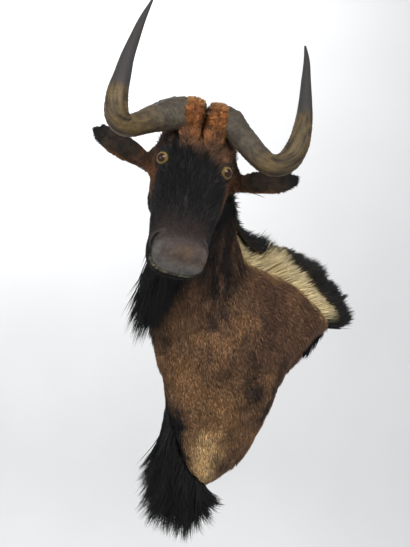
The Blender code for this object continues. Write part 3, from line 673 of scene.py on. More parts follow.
class Flow:
    """The lie of the coat, from strokes that blend into each other."""

    # A stroke's weight falls with this power of the distance, which is softened near its place
    FALL = 4
    SOFTNESS = 0.35

    # Place, direction, reach; in the head's frame, mirrored
    HEAD_STROKES = (
        ((0.020, -0.230, 0.030), (0.15, 1.0, 0.0), 0.035),
        ((0.020, -0.150, 0.035), (0.25, 1.0, 0.0), 0.040),
        ((0.020, -0.070, 0.038), (0.35, 1.0, 0.0), 0.040),
        ((0.020, 0.010, 0.038), (0.25, 1.0, 0.0), 0.040),
        ((0.055, -0.060, 0.030), (0.60, 0.9, -0.2), 0.035),
        ((0.065, -0.200, -0.020), (0.0, 1.0, -0.10), 0.035),
        ((0.060, -0.230, -0.060), (0.0, 1.0, -0.45), 0.030),
        ((0.030, -0.280, -0.060), (0.1, 0.4, -1.0), 0.025),
        ((0.020, -0.250, -0.085), (0.0, 1.0, -0.3), 0.030),
        ((0.065, -0.130, -0.085), (0.0, 1.0, -0.40), 0.040),
        ((0.075, -0.120, -0.020), (0.0, 1.0, -0.25), 0.040),
        ((0.085, -0.050, -0.060), (0.0, 1.0, -0.45), 0.040),
        ((0.085, -0.030, 0.000), (0.0, 1.0, -0.35), 0.030),
        ((0.072, 0.026, 0.025), (0.35, 1.0, -0.1), 0.025),
        ((0.085, 0.040, -0.020), (0.40, 0.9, -0.3), 0.030),
        ((0.075, 0.020, -0.110), (0.0, 0.8, -0.6), 0.045),
        ((0.020, -0.060, -0.130), (0.0, 0.7, -0.7), 0.050),
        ((0.020, 0.120, 0.000), (0.1, 0.9, -0.4), 0.040),
    )
    # Place, direction, reach; in the world
    BODY_STROKES = (
        ((0.000, -0.220, 0.470), (0.35, 0.45, -0.85), 0.060),
        ((0.080, -0.190, 0.420), (0.40, 0.30, -0.85), 0.060),
        ((-0.080, -0.330, 0.380), (0.05, 0.20, -1.00), 0.070),
        ((-0.160, -0.240, 0.300), (-0.10, 0.15, -1.00), 0.060),
        ((-0.070, -0.240, 0.220), (0.10, 0.05, -1.00), 0.080),
        ((-0.170, -0.150, 0.100), (-0.10, 0.10, -1.00), 0.070),
        ((0.060, -0.150, 0.280), (0.55, 0.15, -0.80), 0.060),
        ((-0.050, -0.220, 0.100), (0.20, 0.00, -1.00), 0.080),
        ((0.100, -0.180, 0.180), (0.55, 0.10, -0.80), 0.070),
        ((0.060, -0.200, 0.040), (0.40, 0.10, -0.95), 0.080),
        ((0.220, -0.100, 0.150), (0.80, 0.10, -0.55), 0.060),
        ((0.230, -0.060, 0.080), (-0.20, 0.10, -1.00), 0.050),
        ((0.140, -0.120, -0.020), (0.15, 0.20, -1.00), 0.070),
        ((0.150, -0.050, -0.040), (-0.35, 0.10, -1.00), 0.060),
        ((-0.060, -0.130, -0.100), (0.10, 0.00, -1.00), 0.080),
        ((-0.140, -0.090, -0.080), (-0.30, 0.10, -1.00), 0.060),
        ((0.020, -0.100, -0.180), (0.10, 0.10, -1.00), 0.070),
        ((0.060, -0.050, -0.160), (-0.30, 0.10, -1.00), 0.050),
        ((-0.060, -0.050, -0.270), (0.10, 0.10, -1.00), 0.060),
    )

    @staticmethod
    def lie(points: Array, normals: Array) -> Array:
        """The lie of the hair, along the skin.

        Args:
            points: World points on the skin.
            normals: Unit normals there.

        Returns:
            Unit directions.
        """
        local = HEAD.inward(points)
        total = np.zeros_like(points)
        weights = np.zeros(len(points))
        head = smoothstep(-0.040, 0.040, BODY.ahead_of(BODY.head_cut, points))
        for place, direction, reach in Flow.HEAD_STROKES:
            for side in (1, -1):
                distance = np.linalg.norm(local - np.array(place) * mirror(side), axis=1)
                weight = head / (distance / reach + Flow.SOFTNESS) ** Flow.FALL
                total += weight[:, None] * HEAD.turned(unit(np.array(direction) * mirror(side))[None])
                weights += weight
        for place, direction, reach in Flow.BODY_STROKES:
            distance = np.linalg.norm(points - np.array(place), axis=1)
            weight = (1 - head) / (distance / reach + Flow.SOFTNESS) ** Flow.FALL
            total += weight[:, None] * unit(np.array(direction))[None]
            weights += weight
        total /= np.maximum(weights, 1e-9)[:, None]
        for side in (1, -1):
            share, across, height = EAR.measure(local, side)
            near = smoothstep(0.06, 0.22, share) * (np.abs(across) < 0.045) * (np.abs(height) < 0.05)
            near = near * (local[:, 0] * side > 0)
            along, _, sideways = (np.array(axis) for axis in EAR.axes(side))
            fan = along[None] + sideways[None] * (across / 0.05)[:, None]
            total = mix(total, unit(HEAD.turned(fan * mirror(side))), near)
        return unit(along_skin(total, normals))


def in_scene(name: str, data: bpy.types.ID) -> Object:
    """An object in the scene, at the origin, that shows a mesh, a light or a camera."""
    made = bpy.data.objects.new(name, data)
    bpy.context.scene.collection.objects.link(made)
    return made


def shown(name: str, shape: bmesh.types.BMesh) -> Object:
    """Turns a shape into a smooth object in the scene."""
    for face in shape.faces:
        face.smooth = True
    mesh = bpy.data.meshes.new(name)
    shape.to_mesh(mesh)
    shape.free()
    return in_scene(name, mesh)


def lofted(rings: Sequence) -> bmesh.types.BMesh:
    """Makes a closed tube by extruding its first ring from ring to ring.

    Args:
        rings: Points of each ring, the same number in each.

    Returns:
        The tube, with both ends filled.
    """
    shape = bmesh.new()
    sides = len(rings[0])
    loop = bmesh.ops.create_circle(shape, cap_ends=False, radius=1.0, segments=sides)["verts"]
    for number, ring in enumerate(rings):
        if number:
            edges = [shape.edges.get((loop[k], loop[(k + 1) % sides])) for k in range(sides)]
            grown = bmesh.ops.extrude_edge_only(shape, edges=edges)["geom"]
            fresh = {v for v in grown if isinstance(v, bmesh.types.BMVert)}
            loop = [next(e.other_vert(v) for e in v.link_edges if e.other_vert(v) in fresh) for v in loop]
        for vertex, point in zip(loop, ring):
            vertex.co = point
    bmesh.ops.holes_fill(shape, edges=[e for e in shape.edges if e.is_boundary], sides=0)
    bmesh.ops.triangulate(shape, faces=[face for face in shape.faces if len(face.verts) > 4])
    bmesh.ops.recalc_face_normals(shape, faces=shape.faces)
    return shape


def vertex_rows(mesh: bpy.types.Mesh, name: str = "co") -> Array:
    """Places or normals of a mesh's vertices."""
    rows = np.empty(len(mesh.vertices) * 3, np.float32)
    mesh.vertices.foreach_get(name, rows)
    return rows.reshape(-1, 3).astype(float)


def move_vertices(mesh: bpy.types.Mesh, places: Array) -> None:
    """Puts a mesh's vertices at other places."""
    mesh.vertices.foreach_set("co", places.astype(np.float32).ravel())
    mesh.update()


def new_mesh_object(name: str, vertices: Array, triangles: Array) -> Object:
    """Links a smooth object made of triangles.

    Args:
        name: Name of the piece.
        vertices: Rows of places.
        triangles: Rows of three vertex numbers.

    Returns:
        The object, at the origin.
    """
    mesh = bpy.data.meshes.new(name)
    mesh.vertices.add(len(vertices))
    mesh.vertices.foreach_set("co", vertices.astype(np.float32).ravel())
    mesh.loops.add(triangles.size)
    mesh.loops.foreach_set("vertex_index", triangles.astype(np.int32).ravel())
    mesh.polygons.add(len(triangles))
    mesh.polygons.foreach_set("loop_start", np.arange(0, triangles.size, 3, dtype=np.int32))
    mesh.polygons.foreach_set("use_smooth", np.full(len(triangles), True))
    mesh.update(calc_edges=True)
    mesh.validate()
    return in_scene(name, mesh)


def paint(piece: Object, colours: Array, name: str = COAT_ATTRIBUTE) -> None:
    """Stores one colour for each vertex."""
    layer = piece.data.color_attributes.new(name=name, type="FLOAT_COLOR", domain="POINT")
    rgba = np.ones((len(colours), 4), np.float32)
    rgba[:, :3] = colours
    layer.data.foreach_set("color", rgba.ravel())


def finish_piece(piece: Object, material: Material, slot: Slot, *nodes: str) -> None:
    """Dresses a finished piece, puts it on the body and hides the solids it stands for."""
    piece.data.materials.clear()
    piece.data.materials.append(material)
    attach(piece, "root")
    if nodes:
        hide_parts(*nodes)
    LOG.info("%s: %d faces", piece.name, len(piece.data.polygons))


@dataclass
class Surface:
    """The skin as plain arrays, for growing hair on."""

    vertices: Array
    triangles: Array
    normals: Array
    uvs: Array  # three for each triangle

    def __post_init__(self) -> None:
        """Builds the search tree."""
        self.tree = BVHTree.FromPolygons(self.vertices.tolist(), self.triangles.tolist())

    def scatter(self, count: int, density: Callable[[Array], Array], seed: int) -> tuple[Array, Array, Array]:
        """Roots on the skin.

        Args:
            count: How many.
            density: Gives how thickly they stand at points.
            seed: Picks the draw.

        Returns:
            Places, normals and UVs.
        """
        rng = np.random.default_rng(seed)
        corners = self.vertices[self.triangles]
        middles = corners.mean(axis=1)
        edges = corners[:, 1:] - corners[:, :1]
        areas = np.linalg.norm(np.cross(edges[:, 0], edges[:, 1]), axis=1) / 2
        running = np.cumsum(areas * density(middles))
        picked = np.searchsorted(running, (np.arange(count) + rng.random(count)) / count * running[-1])
        picked = np.minimum(picked, len(areas) - 1)
        first, second = np.sqrt(rng.random(count)), rng.random(count)
        shares = np.stack((1 - first, first * (1 - second), first * second), axis=1)[:, :, None]
        places = (corners[picked] * shares).sum(axis=1)
        normals = unit((self.normals[self.triangles[picked]] * shares).sum(axis=1))
        return places, normals, (self.uvs[picked] * shares).sum(axis=1)

    def nearest(self, points: Array) -> tuple[Array, Array, Array]:
        """Places, normals and UVs of the skin nearest to points."""
        places, normals, uvs = np.empty_like(points), np.empty_like(points), np.empty((len(points), 2))
        for k, point in enumerate(points):
            place, normal, index, _ = self.tree.find_nearest(point)
            places[k], normals[k], uvs[k] = place, normal, self.uvs[index].mean(axis=0)
        return places, normals, uvs

    def lifted(self, points: Array, clearance: float) -> Array:
        """Points moved out of the skin where they lie in it."""
        moved = points.copy()
        for k, point in enumerate(points):
            place, normal, _, _ = self.tree.find_nearest(point)
            depth = (Vector(point) - place).dot(normal)
            if depth < clearance and (Vector(point) - place).length < 0.08:
                moved[k] = place + normal * clearance
        return moved


@dataclass
class Strands:
    """Hairs or tufts as paths with widths and colours."""

    paths: Array  # (hair, station, xyz)
    ups: Array  # (hair, xyz)
    widths: Array  # (hair, station), half widths
    colours: Array  # (hair, station, rgb)
    uvs: Array  # (hair, uv)
    thickness: float = 0.6

    def piece(self, name: str) -> Object:
        """One mesh of closed, three-sided, pointed hairs with its bake map."""
        clear = ~EYE.crossed(self.paths)
        self.paths, self.ups, self.widths = self.paths[clear], self.ups[clear], self.widths[clear]
        self.colours, self.uvs = self.colours[clear], self.uvs[clear]
        self.paths[:, :, 1] = np.minimum(self.paths[:, :, 1], WALL_GAP)
        count, stations, _ = self.paths.shape
        tangents = unit(np.gradient(self.paths, axis=1))
        sides = unit(np.cross(tangents, self.ups[:, None, :]))
        rises = np.cross(sides, tangents)
        middle = slice(1, stations - 1)
        wide = self.widths[:, middle, None]
        centres = self.paths[:, middle]
        ring = np.stack(
            (
                centres + sides[:, middle] * wide,
                centres + rises[:, middle] * wide * self.thickness,
                centres - sides[:, middle] * wide,
            ),
            axis=2,
        )
        rings = stations - 2
        each = 3 * rings + 2
        vertices = np.concatenate(
            (self.paths[:, :1], ring.reshape(count, rings * 3, 3), self.paths[:, -1:]), axis=1
        )
        pattern = []
        for k in range(3):
            after = (k + 1) % 3
            pattern.append((0, 1 + k, 1 + after))
            for j in range(rings - 1):
                low, high = 1 + 3 * j, 4 + 3 * j
                pattern.append((low + after, low + k, high + k))
                pattern.append((low + after, high + k, high + after))
            top = 1 + 3 * (rings - 1)
            pattern.append((top + after, top + k, each - 1))
        pattern = np.array(pattern)
        triangles = (pattern[None] + (np.arange(count) * each)[:, None, None]).reshape(-1, 3)
        piece = new_mesh_object(name, vertices.reshape(-1, 3), triangles)
        station = np.concatenate(([0], np.repeat(np.arange(1, stations - 1), 3), [stations - 1]))
        paint(piece, self.colours[:, station].reshape(-1, 3))
        spot = np.zeros((each, 2))
        spot[:, 1] = station / (stations - 1)
        spot[1:-1, 0] = np.tile((0.0, 0.5, 1.0), rings)
        spot[0, 0] = spot[-1, 0] = 0.5
        patch = self.uvs[:, None, :] + (spot[None] - 0.5) * PATCH
        layer = piece.data.uv_layers.new(name=BAKE_MAP)
        layer.uv.foreach_set("vector", patch.reshape(-1, 2)[triangles.ravel()].astype(np.float32).ravel())
        return piece


class Finish:
    """Node helpers for the materials."""

    def __init__(self, name: str) -> None:
        """Starts a material with its shader."""
        self.material = bpy.data.materials.new(name)
        self.material.use_nodes = True
        self.nodes = self.material.node_tree.nodes
        self.links = self.material.node_tree.links
        self.shader = self.nodes["Principled BSDF"]
        self.object = self.nodes.new("ShaderNodeTexCoord").outputs["Object"]

    def link(self, source: Socket, target: Socket) -> None:
        """Joins two sockets."""
        self.links.new(source, target)

    def attribute(self, name: str) -> Socket:
        """A stored colour."""
        node = self.nodes.new("ShaderNodeAttribute")
        node.attribute_name = name
        return node.outputs["Color"]

    def noise(self, scale: float, detail: float, rough: float,
              stretch: tuple[float, float, float] | None = None,
              source: Socket | None = None) -> Socket:
        """A noise on object coordinates or on another vector.

        Args:
            scale: Lumps to the metre.
            detail: How many finer layers.
            rough: How strong the finer layers are.
            stretch: Scale along each axis.
            source: Coordinates to read.

        Returns:
            The noise's factor socket.
        """
        vector = source or self.object
        if stretch:
            turn = self.nodes.new("ShaderNodeMapping")
            turn.inputs["Scale"].default_value = stretch
            self.link(vector, turn.inputs["Vector"])
            vector = turn.outputs["Vector"]
        node = self.nodes.new("ShaderNodeTexNoise")
        node.inputs["Scale"].default_value = scale
        node.inputs["Detail"].default_value = detail
        node.inputs["Roughness"].default_value = rough
        self.link(vector, node.inputs["Vector"])
        return node.outputs["Fac"]

    def ramp(self, source: Socket, *stops: tuple) -> Socket:
        """A colour ramp. Each stop is a place and a grey or a colour."""
        node = self.nodes.new("ShaderNodeValToRGB")
        elements = node.color_ramp.elements
        while len(elements) < len(stops):
            elements.new(0.5)
        for element, (place, value) in zip(elements, stops):
            element.position = place
            colour = (value,) * 3 if isinstance(value, (int, float)) else tuple(value)
            element.color = (*colour, 1.0)
        self.link(source, node.inputs["Fac"])
        return node.outputs["Color"]

    def blend(self, first: object, second: object, factor: object, kind: str = "MIX") -> Socket:
        """Mixes two colours or sockets."""
        node = self.nodes.new("ShaderNodeMix")
        node.data_type = "RGBA"
        node.blend_type = kind
        node.clamp_factor = True
        for value, socket in ((factor, node.inputs[0]), (first, node.inputs[6]), (second, node.inputs[7])):
            if isinstance(value, Socket):
                self.link(value, socket)
            elif isinstance(value, (int, float)):
                socket.default_value = value
            else:
                socket.default_value = (*value, 1.0)
        return node.outputs[2]

    def bump(self, height: Socket, distance: float, strength: float, under: Socket | None = None) -> Socket:
        """A bump from a height, over another bump if one is given."""
        node = self.nodes.new("ShaderNodeBump")
        node.inputs["Distance"].default_value = distance
        node.inputs["Strength"].default_value = strength
        self.link(height, node.inputs["Height"])
        if under:
            self.link(under, node.inputs["Normal"])
        return node.outputs["Normal"]

    def set(self, **values: float | Socket) -> None:
        """Sets or joins sockets of the shader. An underscore stands for a space."""
        for name, value in values.items():
            socket = self.shader.inputs[name.replace("_", " ")]
            if isinstance(value, Socket):
                self.link(value, socket)
            else:
                socket.default_value = value


@dataclass(frozen=True)
class HairFinish:
    """Hair and tufts: the stored colour, varied from hair to hair, with a soft shine."""

    name: str
    roughness: float
    shine: float
    variety: float

    def build(self) -> Material:
        """Makes the material."""
        made = Finish(self.name)
        speck = made.ramp(made.noise(420.0, 2.0, 0.5), (0.30, 1.0 - self.variety), (0.70, 1.0 + self.variety))
        colour = made.blend(made.attribute(COAT_ATTRIBUTE), speck, 1.0, "MULTIPLY")
        made.set(Base_Color=colour, Normal=made.bump(made.noise(900.0, 2.0, 0.5), 0.0006, 0.5))
        made.set(Roughness=self.roughness, Specular_IOR_Level=self.shine)
        return made.material


@dataclass(frozen=True)
class SkinFinish:
    """Skin under the coat, and the bare leathery pad."""

    name: str = "hide"

    def build(self) -> Material:
        """Makes the material."""
        made = Finish(self.name)
        bare = made.attribute(BARE_ATTRIBUTE)
        mottle = made.ramp(made.noise(160.0, 5.0, 0.65), (0.30, 0.70), (0.72, 1.25))
        made.set(Base_Color=made.blend(made.attribute(COAT_ATTRIBUTE), mottle, 0.8, "MULTIPLY"))
        pebble = made.nodes.new("ShaderNodeTexVoronoi")
        pebble.feature = "DISTANCE_TO_EDGE"
        pebble.inputs["Scale"].default_value = 260.0
        made.link(made.object, pebble.inputs["Vector"])
        cells = made.ramp(pebble.outputs["Distance"], (0.0, 0.0), (0.25, 1.0))
        height = made.blend(made.noise(700.0, 3.0, 0.6), cells, bare)
        made.set(Normal=made.bump(height, 0.0012, 0.55), Specular_IOR_Level=0.25)
        made.set(Roughness=made.ramp(bare, (0.0, 0.82), (1.0, 0.55)))
        return made.material


@dataclass
class Skin:
    """One skin for head, neck, trunk and ears."""

    voxel: float = 0.0046
    closing: float = 0.0006  # moves neighbouring solids together
    socket_filling: float = 0.0184
    nodes: tuple[str, ...] = (
        "shoulder", "neck_lower", "neck_upper", "head", "muzzle", "lower_jaw", "ear_left", "ear_right",
    )
    flesh_back: float = -0.0183
    back_reach: float = 0.0022  # skin this near the flesh's back is laid flat
    back_gap: float = 0.0004
    smoothing: int = 16
    ear_smoothing: int = 3
    # Depth of the skin under the coat's outline
    neck_depth: float = 0.0030
    trunk_more: float = 0.0010
    face_depth: float = 0.0004
    ear_depth: float = 0.0008

    def gather(self) -> Object:
        """Copies of the flesh solids, moved together, with finer ears and filled eye sockets."""
        whole = bmesh.new()
        for name in (node for node in self.nodes if not node.startswith("ear")):
            part = bmesh.new()
            part.from_mesh(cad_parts[name].data)
            bmesh.ops.remove_doubles(part, verts=part.verts, dist=0.00002)
            part.normal_update()
            moves = [v.normal * self.closing * v.calc_shell_factor() for v in part.verts]
            for vertex, move in zip(part.verts, moves):
                vertex.co += move
            self.added(whole, part)
        for side in (1, -1):
            spot = HEAD.matrix() @ Vector((EYE.centre.x * side, EYE.centre.y, EYE.centre.z))
            place = Matrix.Translation(spot)
            bmesh.ops.create_icosphere(whole, subdivisions=4, radius=self.socket_filling, matrix=place)
            ear = lofted(EAR.rings(side))
            bmesh.ops.triangulate(ear, faces=ear.faces)
            self.added(whole, ear)
        return shown("skin", whole)

    def added(self, whole: bmesh.types.BMesh, part: bmesh.types.BMesh) -> None:
        """Adds a shape to the whole and frees it."""
        mesh = bpy.data.meshes.new("copy")
        part.to_mesh(mesh)
        part.free()
        whole.from_mesh(mesh)
        bpy.data.meshes.remove(mesh)

    def fused(self, skin: Object) -> None:
        """Fuses the copies into one closed skin."""
        remesh = skin.modifiers.new("fuse", "REMESH")
        remesh.mode = "VOXEL"
        remesh.voxel_size = self.voxel
        graph = bpy.context.evaluated_depsgraph_get()
        mesh = bpy.data.meshes.new_from_object(skin.evaluated_get(graph))
        skin.modifiers.clear()
        old = skin.data
        skin.data = mesh
        bpy.data.meshes.remove(old)

    def smoothed(self, skin: Object) -> None:
        """Softens the solids' facets, least on the thin ears."""
        mesh = skin.data
        points = vertex_rows(mesh)
        count = len(points)
        ends = np.empty(len(mesh.edges) * 2, np.int32)
        mesh.edges.foreach_get("vertices", ends)
        sources = np.concatenate((ends[::2], ends[1::2]))
        targets = np.concatenate((ends[1::2], ends[::2]))
        degree = np.bincount(sources, minlength=count)
        ear = Markings.zones(points)["ear"]
        for turn in range(self.smoothing):
            share = 0.6 * np.where(turn < self.ear_smoothing, 1.0, 1.0 - smoothstep(0.0, 0.5, ear))
            sums = [np.bincount(sources, weights=points[targets, k], minlength=count) for k in range(3)]
            points += (np.stack(sums, axis=1) / degree[:, None] - points) * share[:, None]
        move_vertices(mesh, points)

    def refined(self, skin: Object) -> None:
        """Finer faces round the eyes and on the front of the muzzle."""
        shape = bmesh.new()
        shape.from_mesh(skin.data)
        inverse = HEAD.matrix().inverted()
        for level in (0, 1):
            near = []
            for edge in shape.edges:
                spot = inverse @ ((edge.verts[0].co + edge.verts[1].co) / 2)
                eye = Vector((abs(spot.x), spot.y, spot.z)) - EYE.centre
                if eye.length < (0.038, 0.027)[level] or (level == 0 and spot.y < -0.226):
                    near.append(edge)
            bmesh.ops.subdivide_edges(shape, edges=near, cuts=1, use_grid_fill=True, smooth=0.5)
        bmesh.ops.triangulate(shape, faces=shape.faces)
        shape.to_mesh(skin.data)
        shape.free()

    def depth(self, points: Array) -> Array:
        """How deep the skin lies under the coat's outline."""
        zone = Markings.zones(points)
        body = self.neck_depth + self.trunk_more * (1 - zone["neck"])
        depth = body * (1 - zone["head"]) + self.face_depth * zone["head"]
        return depth * (1 - zone["ear"]) + self.ear_depth * zone["ear"]

    def sculpted(self, points: Array, normals: Array) -> Array:
        """Sinks the skin under the coat and shapes pad, nostrils, mouth and lids.

        Args:
            points: World vertices.
            normals: Their unit normals.

        Returns:
            New places.
        """
        back = points[:, 1] > self.flesh_back - self.back_reach
        moved = points - normals * self.depth(points)[:, None]
        lumps = lattice_noise(points, 0.045, 11) * 0.0016 + lattice_noise(points, 0.016, 12) * 0.0005
        moved += normals * (lumps * (1 - Markings.zones(points)["ear"]))[:, None]
        moved[back, 1] = self.flesh_back - self.back_gap
        local = self.mouth(self.pad(HEAD.inward(moved)))
        return HEAD.outward(self.lids(self.lids(local, 1), -1))

    def pad(self, local: Array) -> Array:
        """The pad's plate, its edge groove and the nostrils."""
        across, up, height, edge = PAD.measure(local)
        front = smoothstep(-0.036, -0.016, height)
        top = smoothstep(0.000, 0.034, up)
        target = PAD.dome * (1 - np.clip(edge, 0, 1.2) ** 2) - 0.002 - 0.005 * top**2
        share = (1 - smoothstep(0.88 - 0.40 * top, 1.22 + 0.25 * top, edge)) * front
        shift = (target - height) * share
        shift -= 0.0014 * bump_at(edge, 1.09, 0.04) * front * smoothstep(0.010, -0.015, up)
        nearest, outward = PAD.nostril(local)
        shift -= 0.0065 * (1 - smoothstep(0.0008, 0.0036, nearest)) * front
        shift += 0.0026 * bump_at(outward, 0.0062, 0.0030) * smoothstep(0.016, 0.009, nearest) * front
        shift -= 0.0011 * bump_at(outward, 0.0130, 0.0022) * smoothstep(0.022, 0.014, nearest) * front
        shift -= 0.0008 * bump_at(outward, 0.0200, 0.0024) * smoothstep(0.030, 0.021, nearest) * front
        cleft = bump_at(across, 0.0, 0.0022) * smoothstep(0.010, -0.030, up) * front
        shift -= 0.0016 * cleft
        return local + np.array(PAD.normal)[None] * shift[:, None]

    def mouth(self, local: Array) -> Array:
        """The closed mouth's line and the lower lip set back under the upper one."""
        x, y, z = local[:, 0], local[:, 1], local[:, 2]
        line = -0.050 - 0.016 * np.clip((y + 0.284) / 0.134, 0, 1)
        gap = z - line
        span = smoothstep(-0.140, -0.165, y)
        centre = np.array((0.0, -0.19, -0.055))
        inward = unit(centre[None] - local)
        depth = 0.0042 * bump_at(gap, 0.0, 0.0030)
        depth += 0.0022 * smoothstep(0.0, -0.004, gap) * smoothstep(-0.028, -0.012, gap)
        return local + inward * (depth * span)[:, None]

    def lids(self, local: Array, side: int) -> Array:
        """Opens the lids over an eye and gives them a rim and folds."""
        offset, distance = EYE.local(local, side)
        gaze = np.array(EYE.gaze.normalized())
        crown = unit(np.array((0.0, 1.0, 0.0)) - gaze * gaze[1])
        side_axis = np.cross(crown, gaze)
        heading = unit(offset)
        angle = np.arccos(np.clip(heading @ gaze, -1, 1))
        turn = np.arctan2(heading @ crown, heading @ side_axis)
        opening = EYE.opening - math.radians(5.0) * np.clip(np.sin(turn), 0, 1) ** 2
        opening += math.radians(4.0) * np.cos(turn) ** 4
        rim = smoothstep(-math.radians(3.0), math.radians(3.0), angle - opening)
        lid = EYE.hidden_radius + (EYE.lid_radius - EYE.hidden_radius) * rim
        fold = 0.0011 * bump_at(angle - opening, math.radians(20.0), math.radians(5.5))
        fade = smoothstep(math.radians(6.0), math.radians(42.0), angle - opening)
        target = (lid - fold) * (1 - fade) + distance * fade
        near = distance < 0.045
        moved = offset * (np.where(near, target, distance) / np.maximum(distance, 1e-6))[:, None]
        placed = (moved + np.array(EYE.centre)) * mirror(side)
        return np.where(near[:, None], placed, local)

    def build(self) -> Surface:
        """Makes the skin and its surface for the coat."""
        skin = self.gather()
        self.fused(skin)
        self.smoothed(skin)
        self.refined(skin)
        mesh = skin.data
        mesh.update()
        points = self.sculpted(vertex_rows(mesh), vertex_rows(mesh, "normal"))
        mesh.polygons.foreach_set("use_smooth", np.full(len(mesh.polygons), True))
        move_vertices(mesh, points)
        self.unwrapped(skin)
        paint(skin, Markings.colours(points))
        bare = Markings.zones(points)["pad"]
        paint(skin, np.repeat(bare[:, None], 3, axis=1), BARE_ATTRIBUTE)
        finish_piece(skin, SkinFinish().build(), Slot.COAT, *self.nodes)
        return self.surface(mesh)

    def unwrapped(self, skin: Object) -> None:
        """Unwraps the skin's own shape for the bake."""
        bpy.ops.object.select_all(action="DESELECT")
        skin.select_set(True)
        bpy.context.view_layer.objects.active = skin
        skin.data.uv_layers.new(name=BAKE_MAP)
        bpy.ops.object.mode_set(mode="EDIT")
        bpy.ops.mesh.select_all(action="SELECT")
        bpy.ops.uv.smart_project(angle_limit=math.radians(70.0), island_margin=0.004)
        bpy.ops.object.mode_set(mode="OBJECT")
        skin.select_set(False)

    def surface(self, mesh: bpy.types.Mesh) -> Surface:
        """The skin's arrays."""
        corners = np.empty(len(mesh.loops), np.int32)
        mesh.loops.foreach_get("vertex_index", corners)
        uvs = np.empty(len(mesh.loops) * 2, np.float32)
        mesh.uv_layers[BAKE_MAP].uv.foreach_get("vector", uvs)
        uvs = uvs.reshape(-1, 3, 2).astype(float)
        return Surface(vertex_rows(mesh), corners.reshape(-1, 3), vertex_rows(mesh, "normal"), uvs)


@dataclass
class ShortCoat:
    """Flat-lying tufts over trunk, neck, head and ears."""

    surface: Surface
    body_tufts: int = 30000  # in each of the two pieces
    head_tufts: int = 21000
    root_depth: float = 0.0012
    body_length: float = 0.0210
    neck_more: float = 0.005
    body_half: float = 0.00098
    body_lift: float = math.radians(15.0)
    head_length: float = 0.0110
    muzzle_length: float = 0.0048
    head_half: float = 0.00070
    muzzle_half: float = 0.00048
    head_lift: float = math.radians(16.0)
    lid_clear: float = 0.0212
    nostril_clear: float = 0.007

    def tufts(self, name: str, count: int, density: Callable[[Array], Array], seed: int,
              size: Callable[[dict, Array], tuple[Array, Array, Array]]) -> Object:
        """Scatters one piece of tufts.

        Args:
            name: Name of the piece.
            count: How many tufts.
            density: How thickly they stand.
            seed: Picks the draw.
            size: Gives length, half width and lift for zones and points.

        Returns:
            The piece.
        """
        rng = np.random.default_rng(seed + 500)
        places, normals, uvs = self.surface.scatter(count, density, seed)
        zone = Markings.zones(places)
        length, wide, lift = size(zone, places)
        length = length * rng.uniform(0.70, 1.25, count)
        wide = wide * rng.uniform(0.75, 1.25, count)
        lift = lift * rng.uniform(0.5, 1.6, count)
        lie = Flow.lie(places, normals)
        sideways = np.cross(normals, lie)
        sway = rng.normal(0.0, 0.16, count) + 0.35 * lattice_noise(places, 0.022, 21)
        lie = unit(lie + sideways * sway[:, None])
        start = places - normals * self.root_depth
        middle = places + lie * (length * 0.42)[:, None] + normals * (length * np.sin(lift) * 0.55)[:, None]
        tip = places + lie * length[:, None] + normals * (length * np.sin(lift) * 0.62)[:, None]
        paths = np.stack((start, middle, tip), axis=1)
        tone = rng.normal(0, 0.22, count) + 0.22 * lattice_noise(places, 0.007, 23, (1.0, 1.0, 0.30))
        base = Markings.colours(places) * np.exp(tone)[:, None]
        # Darker at the root and lighter at the tip: painted shade among the overlapping tufts.
        colours = np.stack((base * 0.55, base, base * 1.15), axis=1)
        return Strands(paths, normals, np.stack((wide, wide, wide), axis=1), colours, uvs).piece(name)

    def body_size(self, zone: dict, places: Array) -> tuple[Array, Array, Array]:
        """Tuft sizes on the trunk and neck."""
        lumps = 1 + 0.35 * lattice_noise(places, 0.030, 22)
        rim = smoothstep(-0.030, -0.050, places[:, 1])
        length = (self.body_length + self.neck_more * zone["neck"]) * lumps * (0.6 + 0.4 * rim)
        return length, np.full(len(places), self.body_half), self.body_lift * lumps * (0.4 + 0.6 * rim)

    def head_size(self, zone: dict, places: Array) -> tuple[Array, Array, Array]:
        """Tuft sizes on the head, smallest on the muzzle."""
        muzzle = smoothstep(-0.13, -0.23, zone["local"][:, 1])
        length = self.head_length * (1 - muzzle) + self.muzzle_length * muzzle
        length = length * (1 - 0.45 * zone["ear"])
        length = length * (0.28 + 0.72 * smoothstep(0.022, 0.046, EYE.away(zone["local"])))
        wide = self.head_half * (1 - muzzle) + self.muzzle_half * muzzle
        return length, wide, self.head_lift * (1 - 0.5 * zone["ear"])

    def body_density(self, points: Array) -> Array:
        """Where trunk and neck tufts stand."""
        zone = Markings.zones(points)
        off_back = smoothstep(-0.0195, -0.026, points[:, 1])
        return (1 - smoothstep(0.4, 1.0, zone["head"])) * off_back

    def head_density(self, points: Array) -> Array:
        """Where head tufts stand: not on the pad, the lids or in the nostrils."""
        zone = Markings.zones(points)
        local = zone["local"]
        density = smoothstep(0.0, 0.6, zone["head"]) * (1 - zone["pad"])
        density = density * (EYE.away(local) > self.lid_clear)
        density = density * ((PAD.nostril(local)[0] > self.nostril_clear) | (zone["height"] < -0.03))
        return density * (1 + 1.2 * smoothstep(-0.13, -0.23, local[:, 1]))

    def build(self) -> None:
        """Makes the coat's pieces."""
        body = ("coat_body", HairFinish("short_coat", 0.62, 0.28, 0.22), Slot.COAT,
                self.body_tufts, self.body_density, 100, self.body_size)
        head = ("coat_head", HairFinish("face_coat", 0.58, 0.18, 0.25), Slot.DARK_FACE,
                self.head_tufts, self.head_density, 200, self.head_size)
        for name, finish, slot, count, density, seed, size in (body, head):
            material = finish.build()
            for k in range(2):
                piece = self.tufts(f"{name}_{k + 1}", count, density, seed + k, size)
                finish_piece(piece, material, slot)


